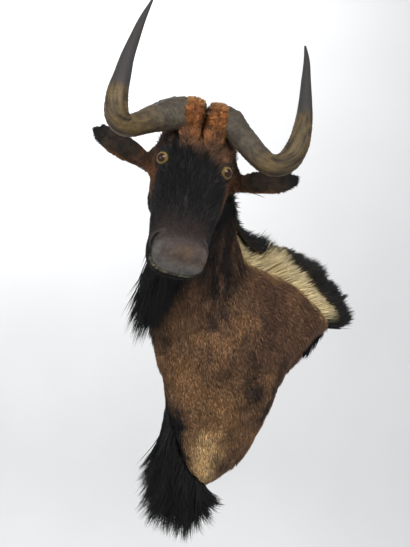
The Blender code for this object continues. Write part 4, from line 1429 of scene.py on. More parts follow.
@dataclass
class LongHair:
    """Locks of long hair that bend, wave and gather towards their tips."""

    surface: Surface
    stations: int = 7

    def grow(self, roots: Array, ways: Array, ups: Array, lengths: Array, rng: np.random.Generator,
             droop: float = 0.0, wave: float = 0.0, curl: Array | None = None,
             phase: Array | None = None) -> Array:
        """Paths of hairs.

        Args:
            roots: Where they start.
            ways: First directions.
            ups: Normals at the roots.
            lengths: Their lengths.
            rng: Source of the draw.
            droop: How much they fall.
            wave: How much they sway.
            curl: Turning axis times strength for each hair.
            phase: Where each hair starts in its sway; by chance if left out.

        Returns:
            Places, by hair and station.
        """
        count = len(roots)
        step = lengths / (self.stations - 1)
        place, way = roots.copy(), unit(ways)
        rows = [place.copy()]
        if phase is None:
            phase = rng.uniform(0, 2 * math.pi, count)
        tempo = rng.uniform(0.9, 1.6, count)
        sides = unit(np.cross(way, ups))
        for k in range(1, self.stations):
            swing = np.sin(phase + tempo * k * 1.3)
            way = way + sides * (wave * swing)[:, None] + np.array((0, 0, -1.0)) * droop
            if curl is not None:
                way = way + np.cross(curl, way) * (k / self.stations)
            way = unit(way)
            place = place + way * step[:, None]
            rows.append(place.copy())
        return np.stack(rows, axis=1)

    def gathered(self, paths: Array, locks: Array, pull: float) -> Array:
        """Draws each hair towards its lock's middle hair, most at the tip.

        Args:
            paths: Places, by hair and station.
            locks: Which lock each hair is in; the first of each is its middle.
            pull: Share of the way at the tips.

        Returns:
            New paths.
        """
        order = np.unique(locks, return_index=True)[1]
        middles = paths[order][np.searchsorted(np.unique(locks), locks)]
        share = pull * np.linspace(0, 1, paths.shape[1]) ** 1.3
        return paths + (middles - paths) * share[None, :, None]

    def widths(self, count: int, half: float, rng: np.random.Generator, full: float = 0.35) -> Array:
        """Half widths that swell to a share of the length and taper to the tip."""
        share = np.linspace(0, 1, self.stations)
        swell, taper = np.clip(share / full, 0, 1), np.clip((share - full) / (1 - full), 0, 1)
        form = 0.65 + 0.35 * swell - 0.80 * taper**1.5
        return half * form[None] * rng.uniform(0.7, 1.35, count)[:, None]

    def shares(self) -> Array:
        """Share of the length at each station, to set beside hairs and colours."""
        return np.linspace(0, 1, self.stations)[None, :, None]

    def marked(self, places: Array, spread: float, low: float, rng: np.random.Generator) -> Array:
        """Colours of the markings, varied from hair to hair, darker at the root and lighter towards the tips
        as painted shade among the hairs.
        """
        shade = np.exp(rng.normal(0, spread, len(places)))[:, None, None]
        return Markings.colours(places)[:, None, :] * shade * (low + 0.35 * self.shares())


@dataclass
class Mane(LongHair):
    """The upright mane: cream at its roots and sides, black along its outer edge."""

    # Section, length, share of the lie that is outwards, half thickness
    rows: tuple = (
        (11.6, 0.045, 0.76, 0.016),
        (10.0, 0.044, 0.74, 0.018),
        (8.0, 0.052, 0.76, 0.020),
        (6.4, 0.090, 0.88, 0.025),
        (5.2, 0.130, 0.94, 0.030),
        (4.0, 0.116, 0.90, 0.032),
        (2.8, 0.092, 0.88, 0.031),
        (1.6, 0.080, 0.86, 0.028),
        (0.3, 0.074, 0.80, 0.020),
    )
    root_depth: float = 0.014
    stations: int = 5

    def roots(self, count: int, seed: int) -> dict[str, Array]:
        """Roots along the crest.

        Args:
            count: How many.
            seed: Picks the draw.

        Returns:
            Rows of place, lie, left, forward, length, half thickness, section number and offset from -1 to 1.
        """
        rng = np.random.default_rng(seed)
        last = len(self.rows) - 1
        at = rng.uniform(0, last, count)
        steps = np.linspace(0, last, 90)
        samples = []
        for step in steps:
            section, length, outward, thick = spline(self.rows, float(step))
            middle, dorsal, left, forward, height = BODY.at(section)
            place = middle + dorsal * (height - self.root_depth)
            lie = dorsal * outward - forward * math.sqrt(1 - outward * outward)
            samples.append((*place, *lie, *left, *forward, length, thick, section))
        columns = np.array([np.interp(at, steps, column) for column in zip(*samples)])
        vectors = columns[:12].reshape(4, 3, count).transpose(0, 2, 1)
        made = dict(zip(("place", "lie", "left", "forward"), vectors))
        made.update(zip(("length", "thick", "section"), columns[12:]))
        made["offset"] = rng.uniform(-1, 1, count)
        return made

    def hairs(self, name: str, count: int, seed: int, cream: bool) -> Object:
        """One piece of the mane.

        Args:
            name: Name of the piece.
            count: How many hairs.
            seed: Picks the draw.
            cream: Whether it is the cream hair and not the black tips.

        Returns:
            The piece.
        """
        rng = np.random.default_rng(seed)
        row = self.roots(count, seed)
        side = row["offset"] * (1.0 if cream else 0.75)
        place = row["place"] + row["left"] * (side * row["thick"] * 0.95)[:, None]
        place = place - row["lie"] * (0.010 * side**2 + rng.uniform(0.0, 0.010, count))[:, None]
        lie = unit(row["lie"] + row["left"] * (side * 0.22)[:, None])
        length = row["length"] * (1 - 0.35 * np.abs(side) ** 2)
        rear = smoothstep(1.9, 0.7, row["section"])
        locks = (np.floor(row["section"] * 9) * 7 + np.floor((side + 1) * 3.2)).astype(int)
        tangle = lattice_noise(np.stack((row["section"] * 0.5, side * 0.6, 0 * side), axis=1), 0.30, 31)
        length = length * (1 + 0.10 * tangle)
        withers = smoothstep(6.4, 5.2, row["section"])
        bare = bump_at(row["section"], 5.3, 0.75)
        if cream:
            length = length * rng.uniform(0.42, 0.84, count) * (1 + 0.16 * bare) * (0.75 + 0.25 * withers)
            start, reach = place, length
        else:
            high = smoothstep(7.6, 9.2, row["section"])
            neck = rng.uniform(0.44, 0.76, count) * (1 - high) + rng.uniform(0.05, 0.55, count) * high
            begin = rng.uniform(0.48, 0.82, count) * withers + neck * (1 - withers)
            start = place + lie * (length * begin * (1 - 0.9 * rear))[:, None]
            full = length * rng.uniform(0.80, 1.20, count) * (1 - 0.30 * bare) * (1.2 - 0.2 * withers)
            reach = np.maximum(full - np.linalg.norm(start - place, axis=1), 0.020)
        ups = np.tile(np.array((0.0, -1.0, 0.0)), (count, 1))
        loose = np.where(rng.random(count) < 0.25, 2.2, 1.0)
        if not cream:
            loose = loose * (2 - withers)
        sway = row["forward"] * (rng.normal(0, 0.09, count) * loose)[:, None]
        sway = sway + row["left"] * (rng.normal(0, 0.06, count) * loose)[:, None]
        sway = sway + row["forward"] * 0.10 * tangle[:, None]
        paths = self.grow(start, lie + sway, ups, reach, rng, 0.012, 0.03)
        paths = self.gathered(paths, locks, 0.12 if cream else 0.38)
        shade = rng.uniform(0.82, 1.12, count)[:, None, None]
        share = self.shares()
        if cream:
            dark = (rng.random(count) < 0.08)[:, None, None]
            base = np.where(dark, Tint.STRAW, Tint.CREAM)
            dusk = np.maximum(rear, 0.9 * smoothstep(8.2, 9.6, row["section"]))[:, None, None]
            base = base * (1 - dusk) + Tint.BLACK * dusk
            # A little darker at the root than at the tip: painted shade among the hairs.
            colours = base * shade * (0.88 + 0.16 * share)
            colours = colours * (1 - 0.30 * share**5) + Tint.COAT_DARK * 0.30 * share**5
        else:
            root = Tint.COAT_DARK * 0.75 + Tint.STRAW * 0.25
            colours = (root * (1 - share) ** 4 + Tint.BLACK * (1 - (1 - share) ** 4)) * shade
        uvs = self.surface.nearest(start)[2]
        half = 0.00125 if cream else 0.00080
        return Strands(paths, ups, self.widths(count, half, rng), colours, uvs, 0.7).piece(name)

    def build(self) -> None:
        """Makes the mane."""
        cream = HairFinish("cream_hair", 0.58, 0.30, 0.18).build()
        black = HairFinish("mane_tips", 0.45, 0.40, 0.20).build()
        sides = self.hairs("mane_cream", 10800, 301, True)
        finish_piece(sides, cream, Slot.CREAM_HAIR, "mane_neck", "mane_withers")
        finish_piece(self.hairs("mane_black", 6600, 302, False), black, Slot.BLACK_HAIR)


@dataclass
class Fringe(LongHair):
    """Hair that hangs from a line of roots: the beard and the chest tuft."""

    name: str = "beard"
    # Root, lie of the hair, length, half thickness at the root
    rows: tuple = ()
    count: int = 0
    wave: float = 0.0
    curl: float = 0.0
    end_curl: float = 0.0  # turns the hairs of the last rows up to the animal's left
    inner: float = 1.0  # length on the side towards the body, beside the outer side's
    clump: float = 0.30
    half_width: float = 0.00090
    stations: int = 6
    snapped: bool = False  # roots are moved onto the skin
    thinning: float = 1.0  # below 1, hairs stand thinner towards the last row
    ragged: float = 0.50  # how much shorter the shortest hairs are
    clearance: float = 0.0015

    def build(self) -> None:
        """Makes the fringe."""
        rng = np.random.default_rng(401 + len(self.name))
        count = self.count
        at = (len(self.rows) - 1) * (1 - (1 - rng.random(count)) ** self.thinning)
        line, lie, length, thick = spline_many(self.rows, at)
        ahead = spline_many(self.rows, np.minimum(at + 0.05, len(self.rows) - 1))[0]
        behind = spline_many(self.rows, np.maximum(at - 0.05, 0))[0]
        lie = unit(lie)
        across = unit(np.cross(ahead - behind, lie))
        side = rng.uniform(-1, 1, count)
        roots = line + across * (side * thick * 0.85)[:, None]
        if self.snapped:
            roots = self.surface.nearest(roots)[0]
        tangle = lattice_noise(roots, 0.028, 41)
        length = length * (1 - 0.22 * side**2) * (1.06 - self.ragged * rng.random(count) ** 2)
        length = length * (1 + 0.08 * tangle)
        loose = np.where(rng.random(count) < 0.06, 2.6, 1.0)
        bodyward = np.clip(side * np.sign(across[:, 0]), 0, 1)
        length = length * (1 - (1 - self.inner) * bodyward)
        locks = (np.floor(at * 7) * 5 + np.floor((side + 1) * 2.5)).astype(int)
        sway = across * (0.14 * side + rng.normal(0, 0.06, count) * loose)[:, None]
        along = unit(ahead - behind) * (rng.normal(0, 0.06, count) * loose + 0.16 * tangle)[:, None]
        turn = self.curl * np.sin(3.1 * locks + 0.5)
        turn = turn - self.end_curl * smoothstep(len(self.rows) - 3.6, len(self.rows) - 1.6, at)
        curl = np.tile(np.array((0.0, 1.0, 0.0)), (count, 1)) * turn[:, None]
        phase = 2.4 * locks + rng.normal(0, 0.5, count)
        paths = self.grow(roots, lie + sway + along, across, length, rng, 0.03, self.wave, curl, phase)
        paths = self.gathered(paths, locks, self.clump)
        flat = paths.reshape(-1, 3)
        keep_off = self.surface.lifted(flat, self.clearance).reshape(paths.shape)
        paths = np.concatenate((paths[:, :1], keep_off[:, 1:]), axis=1)
        # Darker at the root than at the tip: painted shade inside the fringe.
        colours = Tint.BLACK * rng.uniform(0.65, 1.5, count)[:, None, None] * (0.85 + 0.3 * self.shares())
        ups = np.tile(np.array((0.0, -1.0, 0.0)), (count, 1))
        uvs = self.surface.nearest(roots)[2]
        hairs = Strands(paths, ups, self.widths(count, self.half_width, rng), colours, uvs, 0.7)
        finish = HairFinish(self.name + "_finish", 0.46, 0.28, 0.20).build()
        nodes = (self.name,) if self.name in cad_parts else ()
        finish_piece(hairs.piece(self.name + "_hair"), finish, Slot.BLACK_HAIR, *nodes)


BEARD_ROWS = (
    ((-0.121, -0.490, 0.306), (-0.10, -0.04, -1.0), 0.024, 0.014),
    ((-0.116, -0.448, 0.342), (-0.12, 0.00, -1.0), 0.062, 0.026),
    ((-0.110, -0.396, 0.384), (-0.14, 0.04, -1.0), 0.118, 0.036),
    ((-0.106, -0.345, 0.414), (-0.17, 0.06, -1.0), 0.182, 0.046),
    ((-0.118, -0.292, 0.374), (-0.23, 0.02, -1.0), 0.218, 0.046),
    ((-0.138, -0.244, 0.302), (-0.36, -0.02, -1.0), 0.218, 0.036),
    ((-0.158, -0.196, 0.232), (-0.46, -0.04, -1.0), 0.112, 0.028),
    ((-0.168, -0.166, 0.180), (-0.40, 0.00, -1.0), 0.046, 0.014),
)
CHEST_ROWS = (
    ((-0.147, -0.090, -0.058), (-0.08, 0.00, -1.0), 0.070, 0.018),
    ((-0.140, -0.090, -0.105), (-0.34, 0.00, -1.0), 0.138, 0.030),
    ((-0.131, -0.084, -0.150), (-0.44, 0.00, -1.0), 0.186, 0.030),
    ((-0.116, -0.074, -0.195), (-0.40, 0.00, -1.0), 0.208, 0.030),
    ((-0.098, -0.064, -0.230), (-0.32, 0.00, -1.0), 0.196, 0.028),
    ((-0.080, -0.058, -0.256), (-0.16, 0.00, -1.0), 0.164, 0.024),
    ((-0.066, -0.054, -0.272), (0.06, 0.00, -1.0), 0.104, 0.012),
    ((-0.056, -0.052, -0.280), (0.42, 0.00, -1.0), 0.076, 0.004),
)


CORNER_ROWS = (
    ((0.262, -0.034, 0.117), (-0.15, -0.10, -1.0), 0.018, 0.004),
    ((0.250, -0.036, 0.107), (-0.42, -0.10, -1.0), 0.046, 0.005),
    ((0.234, -0.038, 0.093), (-0.55, -0.10, -1.0), 0.056, 0.005),
    ((0.218, -0.038, 0.081), (-0.65, -0.10, -1.0), 0.032, 0.004),
)


@dataclass
class Forelock(LongHair):
    """A rusty tuft of crimped hair on each side of the parting, over the horn's boss."""

    middle: Vector = field(default_factory=lambda: Vector((0.0278, 0.086, 0.053)))
    radii: Vector = field(default_factory=lambda: Vector((0.0282, 0.060, 0.046)))
    count: int = 4400
    stations: int = 5

    def over(self, across: Array, up: Array, deep: Array) -> Array:
        """Places on the mound, in the head's frame.

        Args:
            across: -1 to 1 from the parting's side to the outer side.
            up: -1 to 1 from the brow to the crown.
            deep: 1 on the mound's surface.

        Returns:
            Rows of x, y, z.
        """
        ramp = smoothstep(-1.25, -0.20, up) * np.sqrt(np.clip(1.08 - np.clip(up, 0, 2) ** 2, 0, 2))
        dome = np.clip(1 - np.abs(across) ** 2.6, 0, 1) ** 0.45 - 0.5 * np.clip(np.abs(across) - 1, 0, 1)
        beyond = np.clip(up - 1, 0, 1)
        return np.stack(
            (
                self.middle.x + self.radii.x * across * (0.60 + 0.40 * deep),
                self.middle.y + self.radii.y * up,
                self.middle.z - 0.017 * smoothstep(0.1, -1.0, up)
                + self.radii.z * (ramp * dome * (0.15 + 0.85 * deep) - 0.8 * beyond),
            ),
            axis=1,
        )

    def build(self) -> None:
        """Makes both forelocks."""
        finish = HairFinish("rust_hair", 0.55, 0.30, 0.25).build()
        for side, name in ((1, "left"), (-1, "right")):
            rng = np.random.default_rng(501 + side)
            count = self.count
            radius, turn = np.sqrt(rng.uniform(0, 1, count)), rng.uniform(0, 2 * math.pi, count)
            across, up = radius * np.cos(turn) * 0.96, radius * np.sin(turn) * 1.02 - 0.06
            deep = rng.uniform(0.30, 1.0, count) ** 0.4
            away = np.where(across + rng.normal(0, 0.22, count) > 0.05, 1.0, -1.0)
            crown = smoothstep(0.0, 0.75, up)
            span = rng.uniform(0.35, 0.75, count) * (1 - 0.75 * crown)
            rise = rng.uniform(0.06, 0.22, count) + 0.34 * crown + 0.25 * across**2
            spots = np.stack((across * 0.7, up, 0 * up), axis=1)
            lump = lattice_noise(spots, 0.22, 61)
            bowed = up - 0.22 * across**2 + 0.05 * lump
            locks = (np.floor((across + 1.2) * 2.4) * 57 + np.floor((bowed + 1.6) * 6.5)).astype(int)
            tone = np.sin(locks * 12.9898) * 43758.5453
            tone = 2 * (tone - np.floor(tone)) - 1
            stand = np.abs(rng.normal(0.02, 0.07, count)) + 0.10 * np.clip(lump, 0, 1) + 0.05 * tone
            phase = 6 * up + 1.6 * lump
            rows = []
            for k in range(self.stations):
                share = k / (self.stations - 1)
                crimp = 0.040 * np.sin(phase + 7.5 * share)
                rows.append(self.over(
                    across + away * span * (share - 0.3),
                    up + rise * share**1.6 + crimp - 0.05,
                    deep * (1 + 0.10 * lump) + stand * share**1.4,
                ))
            local = np.stack(rows, axis=1)
            local[:, :, 0] *= side
            paths = HEAD.outward(local.reshape(-1, 3)).reshape(local.shape)
            paths = self.gathered(paths, locks, 0.45)
            jitter = rng.normal(0, 0.0009, (count, 3))
            paths = paths + jitter[:, None, :] * np.linspace(0.3, 1.6, self.stations)[None, :, None]
            ups = np.tile(HEAD.turned(np.array(((0.0, 0.0, 1.0),))), (count, 1))
            stripe = np.exp(0.30 * lattice_noise(spots, 0.08, 62) + 0.30 * lump + 0.30 * tone)
            # Hairs deep in the mound are darker: painted shade between the locks. Random tone and stripes
            # vary the rest.
            shade = rng.uniform(0.50, 1.30, count) * stripe * (0.30 + 0.70 * smoothstep(0.62, 0.95, deep))
            # Painted shade in the parting's groove, low on the inner side of each forelock.
            shade = shade * (1 - 0.75 * smoothstep(-0.45, -0.90, across) * smoothstep(0.75, 0.35, up))
            low = smoothstep(-0.45, -1.05, up + 0.25 * lump)[:, None, None]
            top = (0.80 * smoothstep(0.0, 0.95, up + 0.4 * np.abs(across)))[:, None, None]
            base = Tint.RUST * (1 - top) + Tint.RUST_TOP * top
            base = base * (1 - low) + Tint.BROW * low
            # Darker at the root and lighter at the tip: painted shade among the hairs.
            colours = base * shade[:, None, None] * (0.62 + 0.60 * self.shares())
            uvs = self.surface.nearest(paths[:, 0])[2]
            hairs = Strands(paths, ups, self.widths(count, 0.00075, rng), colours, uvs, 0.7)
            finish_piece(hairs.piece(f"forelock_hair_{name}"), finish, Slot.RUST_HAIR, f"forelock_{name}")


@dataclass
class Brush(LongHair):
    """Stiff hair on the face that fans upwards and outwards."""

    name: str = "face_brush_hair"
    nodes: tuple[str, ...] = ("face_brush",)
    slot: Slot = Slot.BLACK_HAIR
    count: int = 5800
    low: float = -0.165  # along the head's y
    high: float = 0.030
    half: float = 0.058  # across the face
    bare: float = 0.035  # round the eyes
    length: float = 0.016
    extra: float = 0.014  # added length in the middle
    lift: float = 10.0
    extra_lift: float = 18.0
    fan: float = 7.0
    seed: int = 601
    stations: int = 4

    def density(self, points: Array) -> Array:
        """Where the brush stands."""
        local = HEAD.inward(points)
        across = smoothstep(self.half + 0.012, self.half - 0.014, np.abs(local[:, 0]))
        along = smoothstep(self.high + 0.018, self.high - 0.012, local[:, 1])
        along *= smoothstep(self.low - 0.022, self.low + 0.022, local[:, 1])
        return across * along * (EYE.away(local) > self.bare) * (local[:, 2] > 0)

    def build(self) -> None:
        """Makes the brush."""
        rng = np.random.default_rng(self.seed)
        places, normals, uvs = self.surface.scatter(self.count, self.density, self.seed + 1)
        local = HEAD.inward(places)
        lie = Flow.lie(places, normals)
        mid = bump_at(local[:, 1], (self.low + self.high) / 2, (self.high - self.low) / 2)
        lift = np.radians(self.lift + self.extra_lift * mid) * rng.uniform(0.5, 1.4, self.count)
        fan = np.stack((local[:, 0] * self.fan, np.ones(self.count), np.zeros(self.count)), axis=1)
        flat = unit(lie + unit(along_skin(HEAD.turned(fan), normals)))
        ways = flat * np.cos(lift)[:, None] + normals * np.sin(lift)[:, None]
        ways = ways + np.cross(normals, ways) * rng.normal(0, 0.12, self.count)[:, None]
        length = (self.length + self.extra * mid) * rng.uniform(0.6, 1.25, self.count)
        paths = self.grow(places - normals * 0.001, ways, normals, length, rng, 0.0, 0.05)
        colours = self.marked(places, 0.38, 0.8, rng)
        hairs = Strands(paths, normals, self.widths(self.count, 0.00070, rng), colours, uvs, 0.7)
        finish = HairFinish(self.name + "_finish", 0.58, 0.18, 0.20).build()
        finish_piece(hairs.piece(self.name), finish, self.slot, *self.nodes)


@dataclass
class NeckLocks(LongHair):
    """Longer dark hair that hangs in streaks down the throat's side of the neck."""

    count: int = 4200
    stations: int = 5

    def density(self, points: Array) -> Array:
        """Where the locks stand."""
        ahead = BODY.ahead_of(BODY.head_cut, points)
        neck = smoothstep(0.010, -0.020, ahead) * smoothstep(0.05, 0.26, points[:, 2])
        return neck * smoothstep(0.09, -0.03, points[:, 0]) * (points[:, 1] < -0.03)

    def build(self) -> None:
        """Makes the locks."""
        rng = np.random.default_rng(651)
        places, normals, uvs = self.surface.scatter(self.count, self.density, 652)
        lie = Flow.lie(places, normals)
        lift = np.radians(9.0) * rng.uniform(0.4, 1.6, self.count)
        ways = lie * np.cos(lift)[:, None] + normals * np.sin(lift)[:, None]
        right = smoothstep(-0.02, -0.13, places[:, 0])
        length = (0.030 + 0.018 * right) * rng.uniform(0.6, 1.3, self.count)
        paths = self.grow(places - normals * 0.001, ways, normals, length, rng, 0.02, 0.06)
        locks = (np.floor(places[:, 0] / 0.007) * 997 + np.floor(places[:, 2] / 0.02)).astype(int)
        paths = self.gathered(paths, locks, 0.30)
        colours = self.marked(places, 0.30, 0.75, rng)
        hairs = Strands(paths, normals, self.widths(self.count, 0.00090, rng), colours, uvs, 0.6)
        finish = HairFinish("neck_hair", 0.52, 0.26, 0.20).build()
        finish_piece(hairs.piece("neck_locks"), finish, Slot.BLACK_HAIR)


@dataclass
class Horn:
    """A horn from its rough boss down, forward and up to a smooth tip."""

    name: str
    side: int
    rows: tuple
    # Below 1, painted shade over the whole horn: the left horn is darkened because it stands in weaker light.
    shade: float = 1.0
    stations: int = 150
    sides: int = 60
    crowding: float = 1.02  # above 1, stations stand closer at the boss
    grain_radius: float = 0.03
    boss_ends: tuple[float, float] = (2.2, 7.0)  # row numbers where the boss fades
    fibre_ends: tuple[float, float] = (9.2, 10.9)  # and where the fibres do

    def frame_at(self, at: float) -> tuple[Vector, Vector, Vector, float, float]:
        """Middle, height axis, thickness axis, half height and half thickness at a row number."""
        last = len(self.rows) - 1
        middle, tall, thick = spline(self.rows, at)
        ahead = spline(self.rows, min(at + 0.05, last))[0]
        behind = spline(self.rows, max(at - 0.05, 0))[0]
        along = HEAD.upright(*ahead) - HEAD.upright(*behind)
        out = Vector((0, 0, 1)) - along * (along.z / along.length_squared)
        out.normalize()
        return HEAD.upright(*middle), along.normalized().cross(out), out, tall, thick

    def build(self, material: Material) -> None:
        """Makes the horn from its rings of points."""
        last = len(self.rows) - 1
        rows, points = [], []
        travelled = 0.0
        before = None
        for k in range(self.stations):
            at = last * (k / (self.stations - 1)) ** self.crowding
            middle, height, out, tall, thick = self.frame_at(at)
            travelled += (middle - (before or middle)).length
            before = middle
            boss = 1 - float(smoothstep(*self.boss_ends, np.array(at)))
            fibre = 1 - float(smoothstep(*self.fibre_ends, np.array(at)))
            for angle in np.arange(self.sides) * (2 * math.pi / self.sides):
                points.append(tuple(middle + height * tall * math.cos(angle) + out * thick * math.sin(angle)))
                grain = (math.cos(angle) * self.grain_radius, math.sin(angle) * self.grain_radius)
                rows.append((*grain, travelled, boss, fibre))
        rows, points = np.array(rows), np.array(points)
        middles = points.reshape(self.stations, self.sides, 3).mean(axis=1)
        outward = unit(points - np.repeat(middles, self.sides, axis=0))
        points = (points + outward * self.relief(rows)[:, None]) * mirror(self.side)
        piece = shown(self.name + "_horn", lofted(HEAD.outward(points).reshape(-1, self.sides, 3)))
        paint(piece, self.colours(rows))
        paint(piece, rows[:, :3] * 10.0, GRAIN_ATTRIBUTE)
        finish_piece(piece, material, Slot.HORN, self.name)

    def relief(self, rows: Array) -> Array:
        """Height of the fibres, the boss's lumps and pits, and the rings."""
        place, travelled, boss, fibre = rows[:, :3], rows[:, 2], rows[:, 3], rows[:, 4]
        along = (1.0, 1.0, 0.30)
        fibres = 0.0008 * lattice_noise(place, 0.0075, 51, along)
        fibres += 0.0005 * lattice_noise(place, 0.0032, 52, along)
        lumps = 0.0012 * lattice_noise(place, 0.010, 53) + 0.0010 * lattice_noise(place, 0.0042, 54)
        lumps -= 0.0016 * smoothstep(0.25, 0.6, np.abs(lattice_noise(place, 0.012, 55, (1.0, 1.0, 0.5))))
        rings = 0.0004 * np.sin(travelled * 620.0 + 2.0 * lattice_noise(place, 0.03, 56))
        return fibres * (0.12 + 0.88 * fibre) + lumps * boss + rings * fibre

    def colours(self, rows: Array) -> Array:
        """Grey-brown boss, straw fibres round the bend, smooth dark point."""
        boss, fibre = rows[:, 3], rows[:, 4]
        streak = lattice_noise(rows[:, :3], 0.0035, 57, (1.0, 1.0, 0.10))
        blotch = lattice_noise(rows[:, :3], 0.014, 58)
        pits = lattice_noise(rows[:, :3], 0.0048, 59)
        dark = np.tile(Tint.POINT, (len(rows), 1))
        bend = mix(Tint.BEND, Tint.BEND_DARK, smoothstep(-0.9, 1.1, 0.8 * streak + 0.7 * blotch))
        top = mix(Tint.BOSS, Tint.BOSS_DARK, smoothstep(-0.9, 0.9, 0.6 * blotch + 0.5 * pits + 0.2 * streak))
        colour = mix(dark, bend, smoothstep(0.15, 0.75, fibre + 0.15 * blotch))
        # The whole horn's colour times its painted shade, below 1 on the left horn.
        return mix(colour, top, smoothstep(0.1, 0.9, boss + 0.15 * blotch)) * self.shade


HORN_RIGHT = (
    ((0.041, 0.118, -0.020), 0.043, 0.030),
    ((0.061, 0.109, -0.012), 0.045, 0.031),
    ((0.080, 0.100, 0.002), 0.0425, 0.031),
    ((0.099, 0.087, 0.020), 0.036, 0.030),
    ((0.118, 0.075, 0.038), 0.030, 0.0285),
    ((0.137, 0.061, 0.058), 0.0265, 0.0265),
    ((0.158, 0.047, 0.080), 0.0245, 0.0250),
    ((0.177, 0.046, 0.100), 0.0255, 0.0255),
    ((0.191, 0.060, 0.112), 0.0262, 0.0262),
    ((0.198, 0.086, 0.114), 0.0252, 0.0252),
    ((0.200, 0.113, 0.108), 0.0229, 0.0229),
    ((0.199, 0.145, 0.097), 0.0195, 0.0195),
    ((0.198, 0.188, 0.079), 0.0156, 0.0156),
    ((0.193, 0.235, 0.058), 0.0121, 0.0121),
    ((0.186, 0.287, 0.036), 0.0080, 0.0080),
    ((0.175, 0.338, 0.016), 0.0026, 0.0026),
)
HORN_LEFT = (
    ((0.038, 0.121, -0.022), 0.041, 0.029),
    ((0.058, 0.114, -0.012), 0.038, 0.030),
    ((0.077, 0.099, 0.004), 0.031, 0.029),
    ((0.099, 0.077, 0.027), 0.0278, 0.0275),
    ((0.127, 0.053, 0.053), 0.0260, 0.0260),
    ((0.152, 0.036, 0.080), 0.0242, 0.0245),
    ((0.176, 0.036, 0.100), 0.0242, 0.0242),
    ((0.194, 0.054, 0.112), 0.0252, 0.0252),
    ((0.203, 0.082, 0.114), 0.0243, 0.0243),
    ((0.206, 0.112, 0.108), 0.0217, 0.0217),
    ((0.206, 0.149, 0.094), 0.0184, 0.0184),
    ((0.202, 0.189, 0.078), 0.0148, 0.0148),
    ((0.196, 0.235, 0.058), 0.0110, 0.0110),
    ((0.190, 0.283, 0.036), 0.0070, 0.0070),
    ((0.181, 0.318, 0.020), 0.0024, 0.0024),
)


@dataclass(frozen=True)
class HornFinish:
    """Horn: the stored colour, fine fibres along it, a rough crust and an even, dull shine."""

    name: str = "horn_sheath"

    def build(self) -> Material:
        """Makes the material."""
        made = Finish(self.name)
        grain = made.attribute(GRAIN_ATTRIBUTE)
        fibres = made.noise(90.0, 5.0, 0.70, (1.0, 1.0, 0.10), grain)
        speck = made.ramp(fibres, (0.30, 0.60), (0.70, 1.40))
        colour = made.blend(made.attribute(COAT_ATTRIBUTE), speck, 0.85, "MULTIPLY")
        crust = made.noise(40.0, 6.0, 0.75, (1.0, 1.0, 0.7), grain)
        colour = made.blend(colour, made.ramp(crust, (0.36, 0.50), (0.64, 1.35)), 0.8, "MULTIPLY")
        rough = made.bump(crust, 0.0016, 0.45)
        made.set(Base_Color=colour, Normal=made.bump(fibres, 0.0014, 0.6, rough))
        made.set(Roughness=0.56, Specular_IOR_Level=0.35)
        return made.material


@dataclass
class GlassEye:
    """A glass eye with a large round pupil and an amber ring."""

    name: str
    side: int
    cornea: float = 0.0009
    # Shares of the ball's radius where the colours change
    pupil_edge: tuple[float, float] = (0.54, 0.61)
    rim_edge: tuple[float, float] = (0.86, 0.92)

    def build(self, material: Material) -> None:
        """Makes the ball, its cornea's bulge and its colours."""
        shape = bmesh.new()
        bmesh.ops.create_uvsphere(shape, u_segments=56, v_segments=40, radius=1.0)
        turn = EYE.gaze.normalized().to_track_quat("Z", "Y").to_matrix()
        rows = np.array([tuple(v.co) for v in shape.verts])
        angle = np.arccos(np.clip(rows[:, 2], -1, 1))
        reach = EYE.radius + self.cornea * (1 - smoothstep(0.0, math.radians(42.0), angle))
        local = ((rows * reach[:, None]) @ np.array(turn).T + np.array(EYE.centre)) * mirror(self.side)
        for vertex, place in zip(shape.verts, HEAD.outward(local)):
            vertex.co = place
        shape.normal_update()
        bmesh.ops.recalc_face_normals(shape, faces=shape.faces)
        piece = shown(self.name + "_glass", shape)
        off_axis = np.hypot(rows[:, 0], rows[:, 1])
        colours = mix(Tint.PUPIL, Tint.IRIS, smoothstep(*self.pupil_edge, off_axis))
        paint(piece, mix(colours, Tint.IRIS_RIM, smoothstep(*self.rim_edge, off_axis)))
        finish_piece(piece, material, Slot.EYE, self.name)


@dataclass(frozen=True)
class GlassFinish:
    """Glass over a painted iris."""

    name: str = "glass_eye"

    def build(self) -> Material:
        """Makes the material."""
        made = Finish(self.name)
        cloud = made.ramp(made.noise(900.0, 3.0, 0.6), (0.3, 0.75), (0.7, 1.25))
        colour = made.blend(made.attribute(COAT_ATTRIBUTE), cloud, 0.7, "MULTIPLY")
        made.set(Base_Color=colour, Roughness=0.06, Specular_IOR_Level=0.25)
        return made.material


@dataclass(frozen=True)
class BoardFinish:
    """Planed pine: straight grain with darker bands."""

    name: str = "pine_board"
    brown: tuple = tuple(linear(150, 112, 72))
    straw: tuple = tuple(linear(196, 158, 112))
    band: tuple = tuple(linear(168, 126, 82))

    def build(self) -> Material:
        """Makes the material."""
        made = Finish(self.name)
        grain = made.noise(9.0, 6.0, 0.6, (9.0, 9.0, 0.6))
        colour = made.ramp(grain, (0.30, self.brown), (0.55, self.straw), (0.75, self.band))
        made.set(Base_Color=colour, Normal=made.bump(grain, 0.0008, 0.4), Roughness=0.65)
        return made.material


@dataclass(frozen=True)
class SteelFinish:
    """Zinc-plated steel with faint brushing."""

    name: str = "zinc_steel"

    def build(self) -> Material:
        """Makes the material."""
        made = Finish(self.name)
        brush = made.noise(300.0, 3.0, 0.6, (1.0, 1.0, 0.1))
        made.set(Base_Color=made.ramp(brush, (0.3, 0.42), (0.7, 0.60)))
        made.set(Roughness=made.ramp(brush, (0.3, 0.30), (0.7, 0.45)), Metallic=0.9)
        return made.material


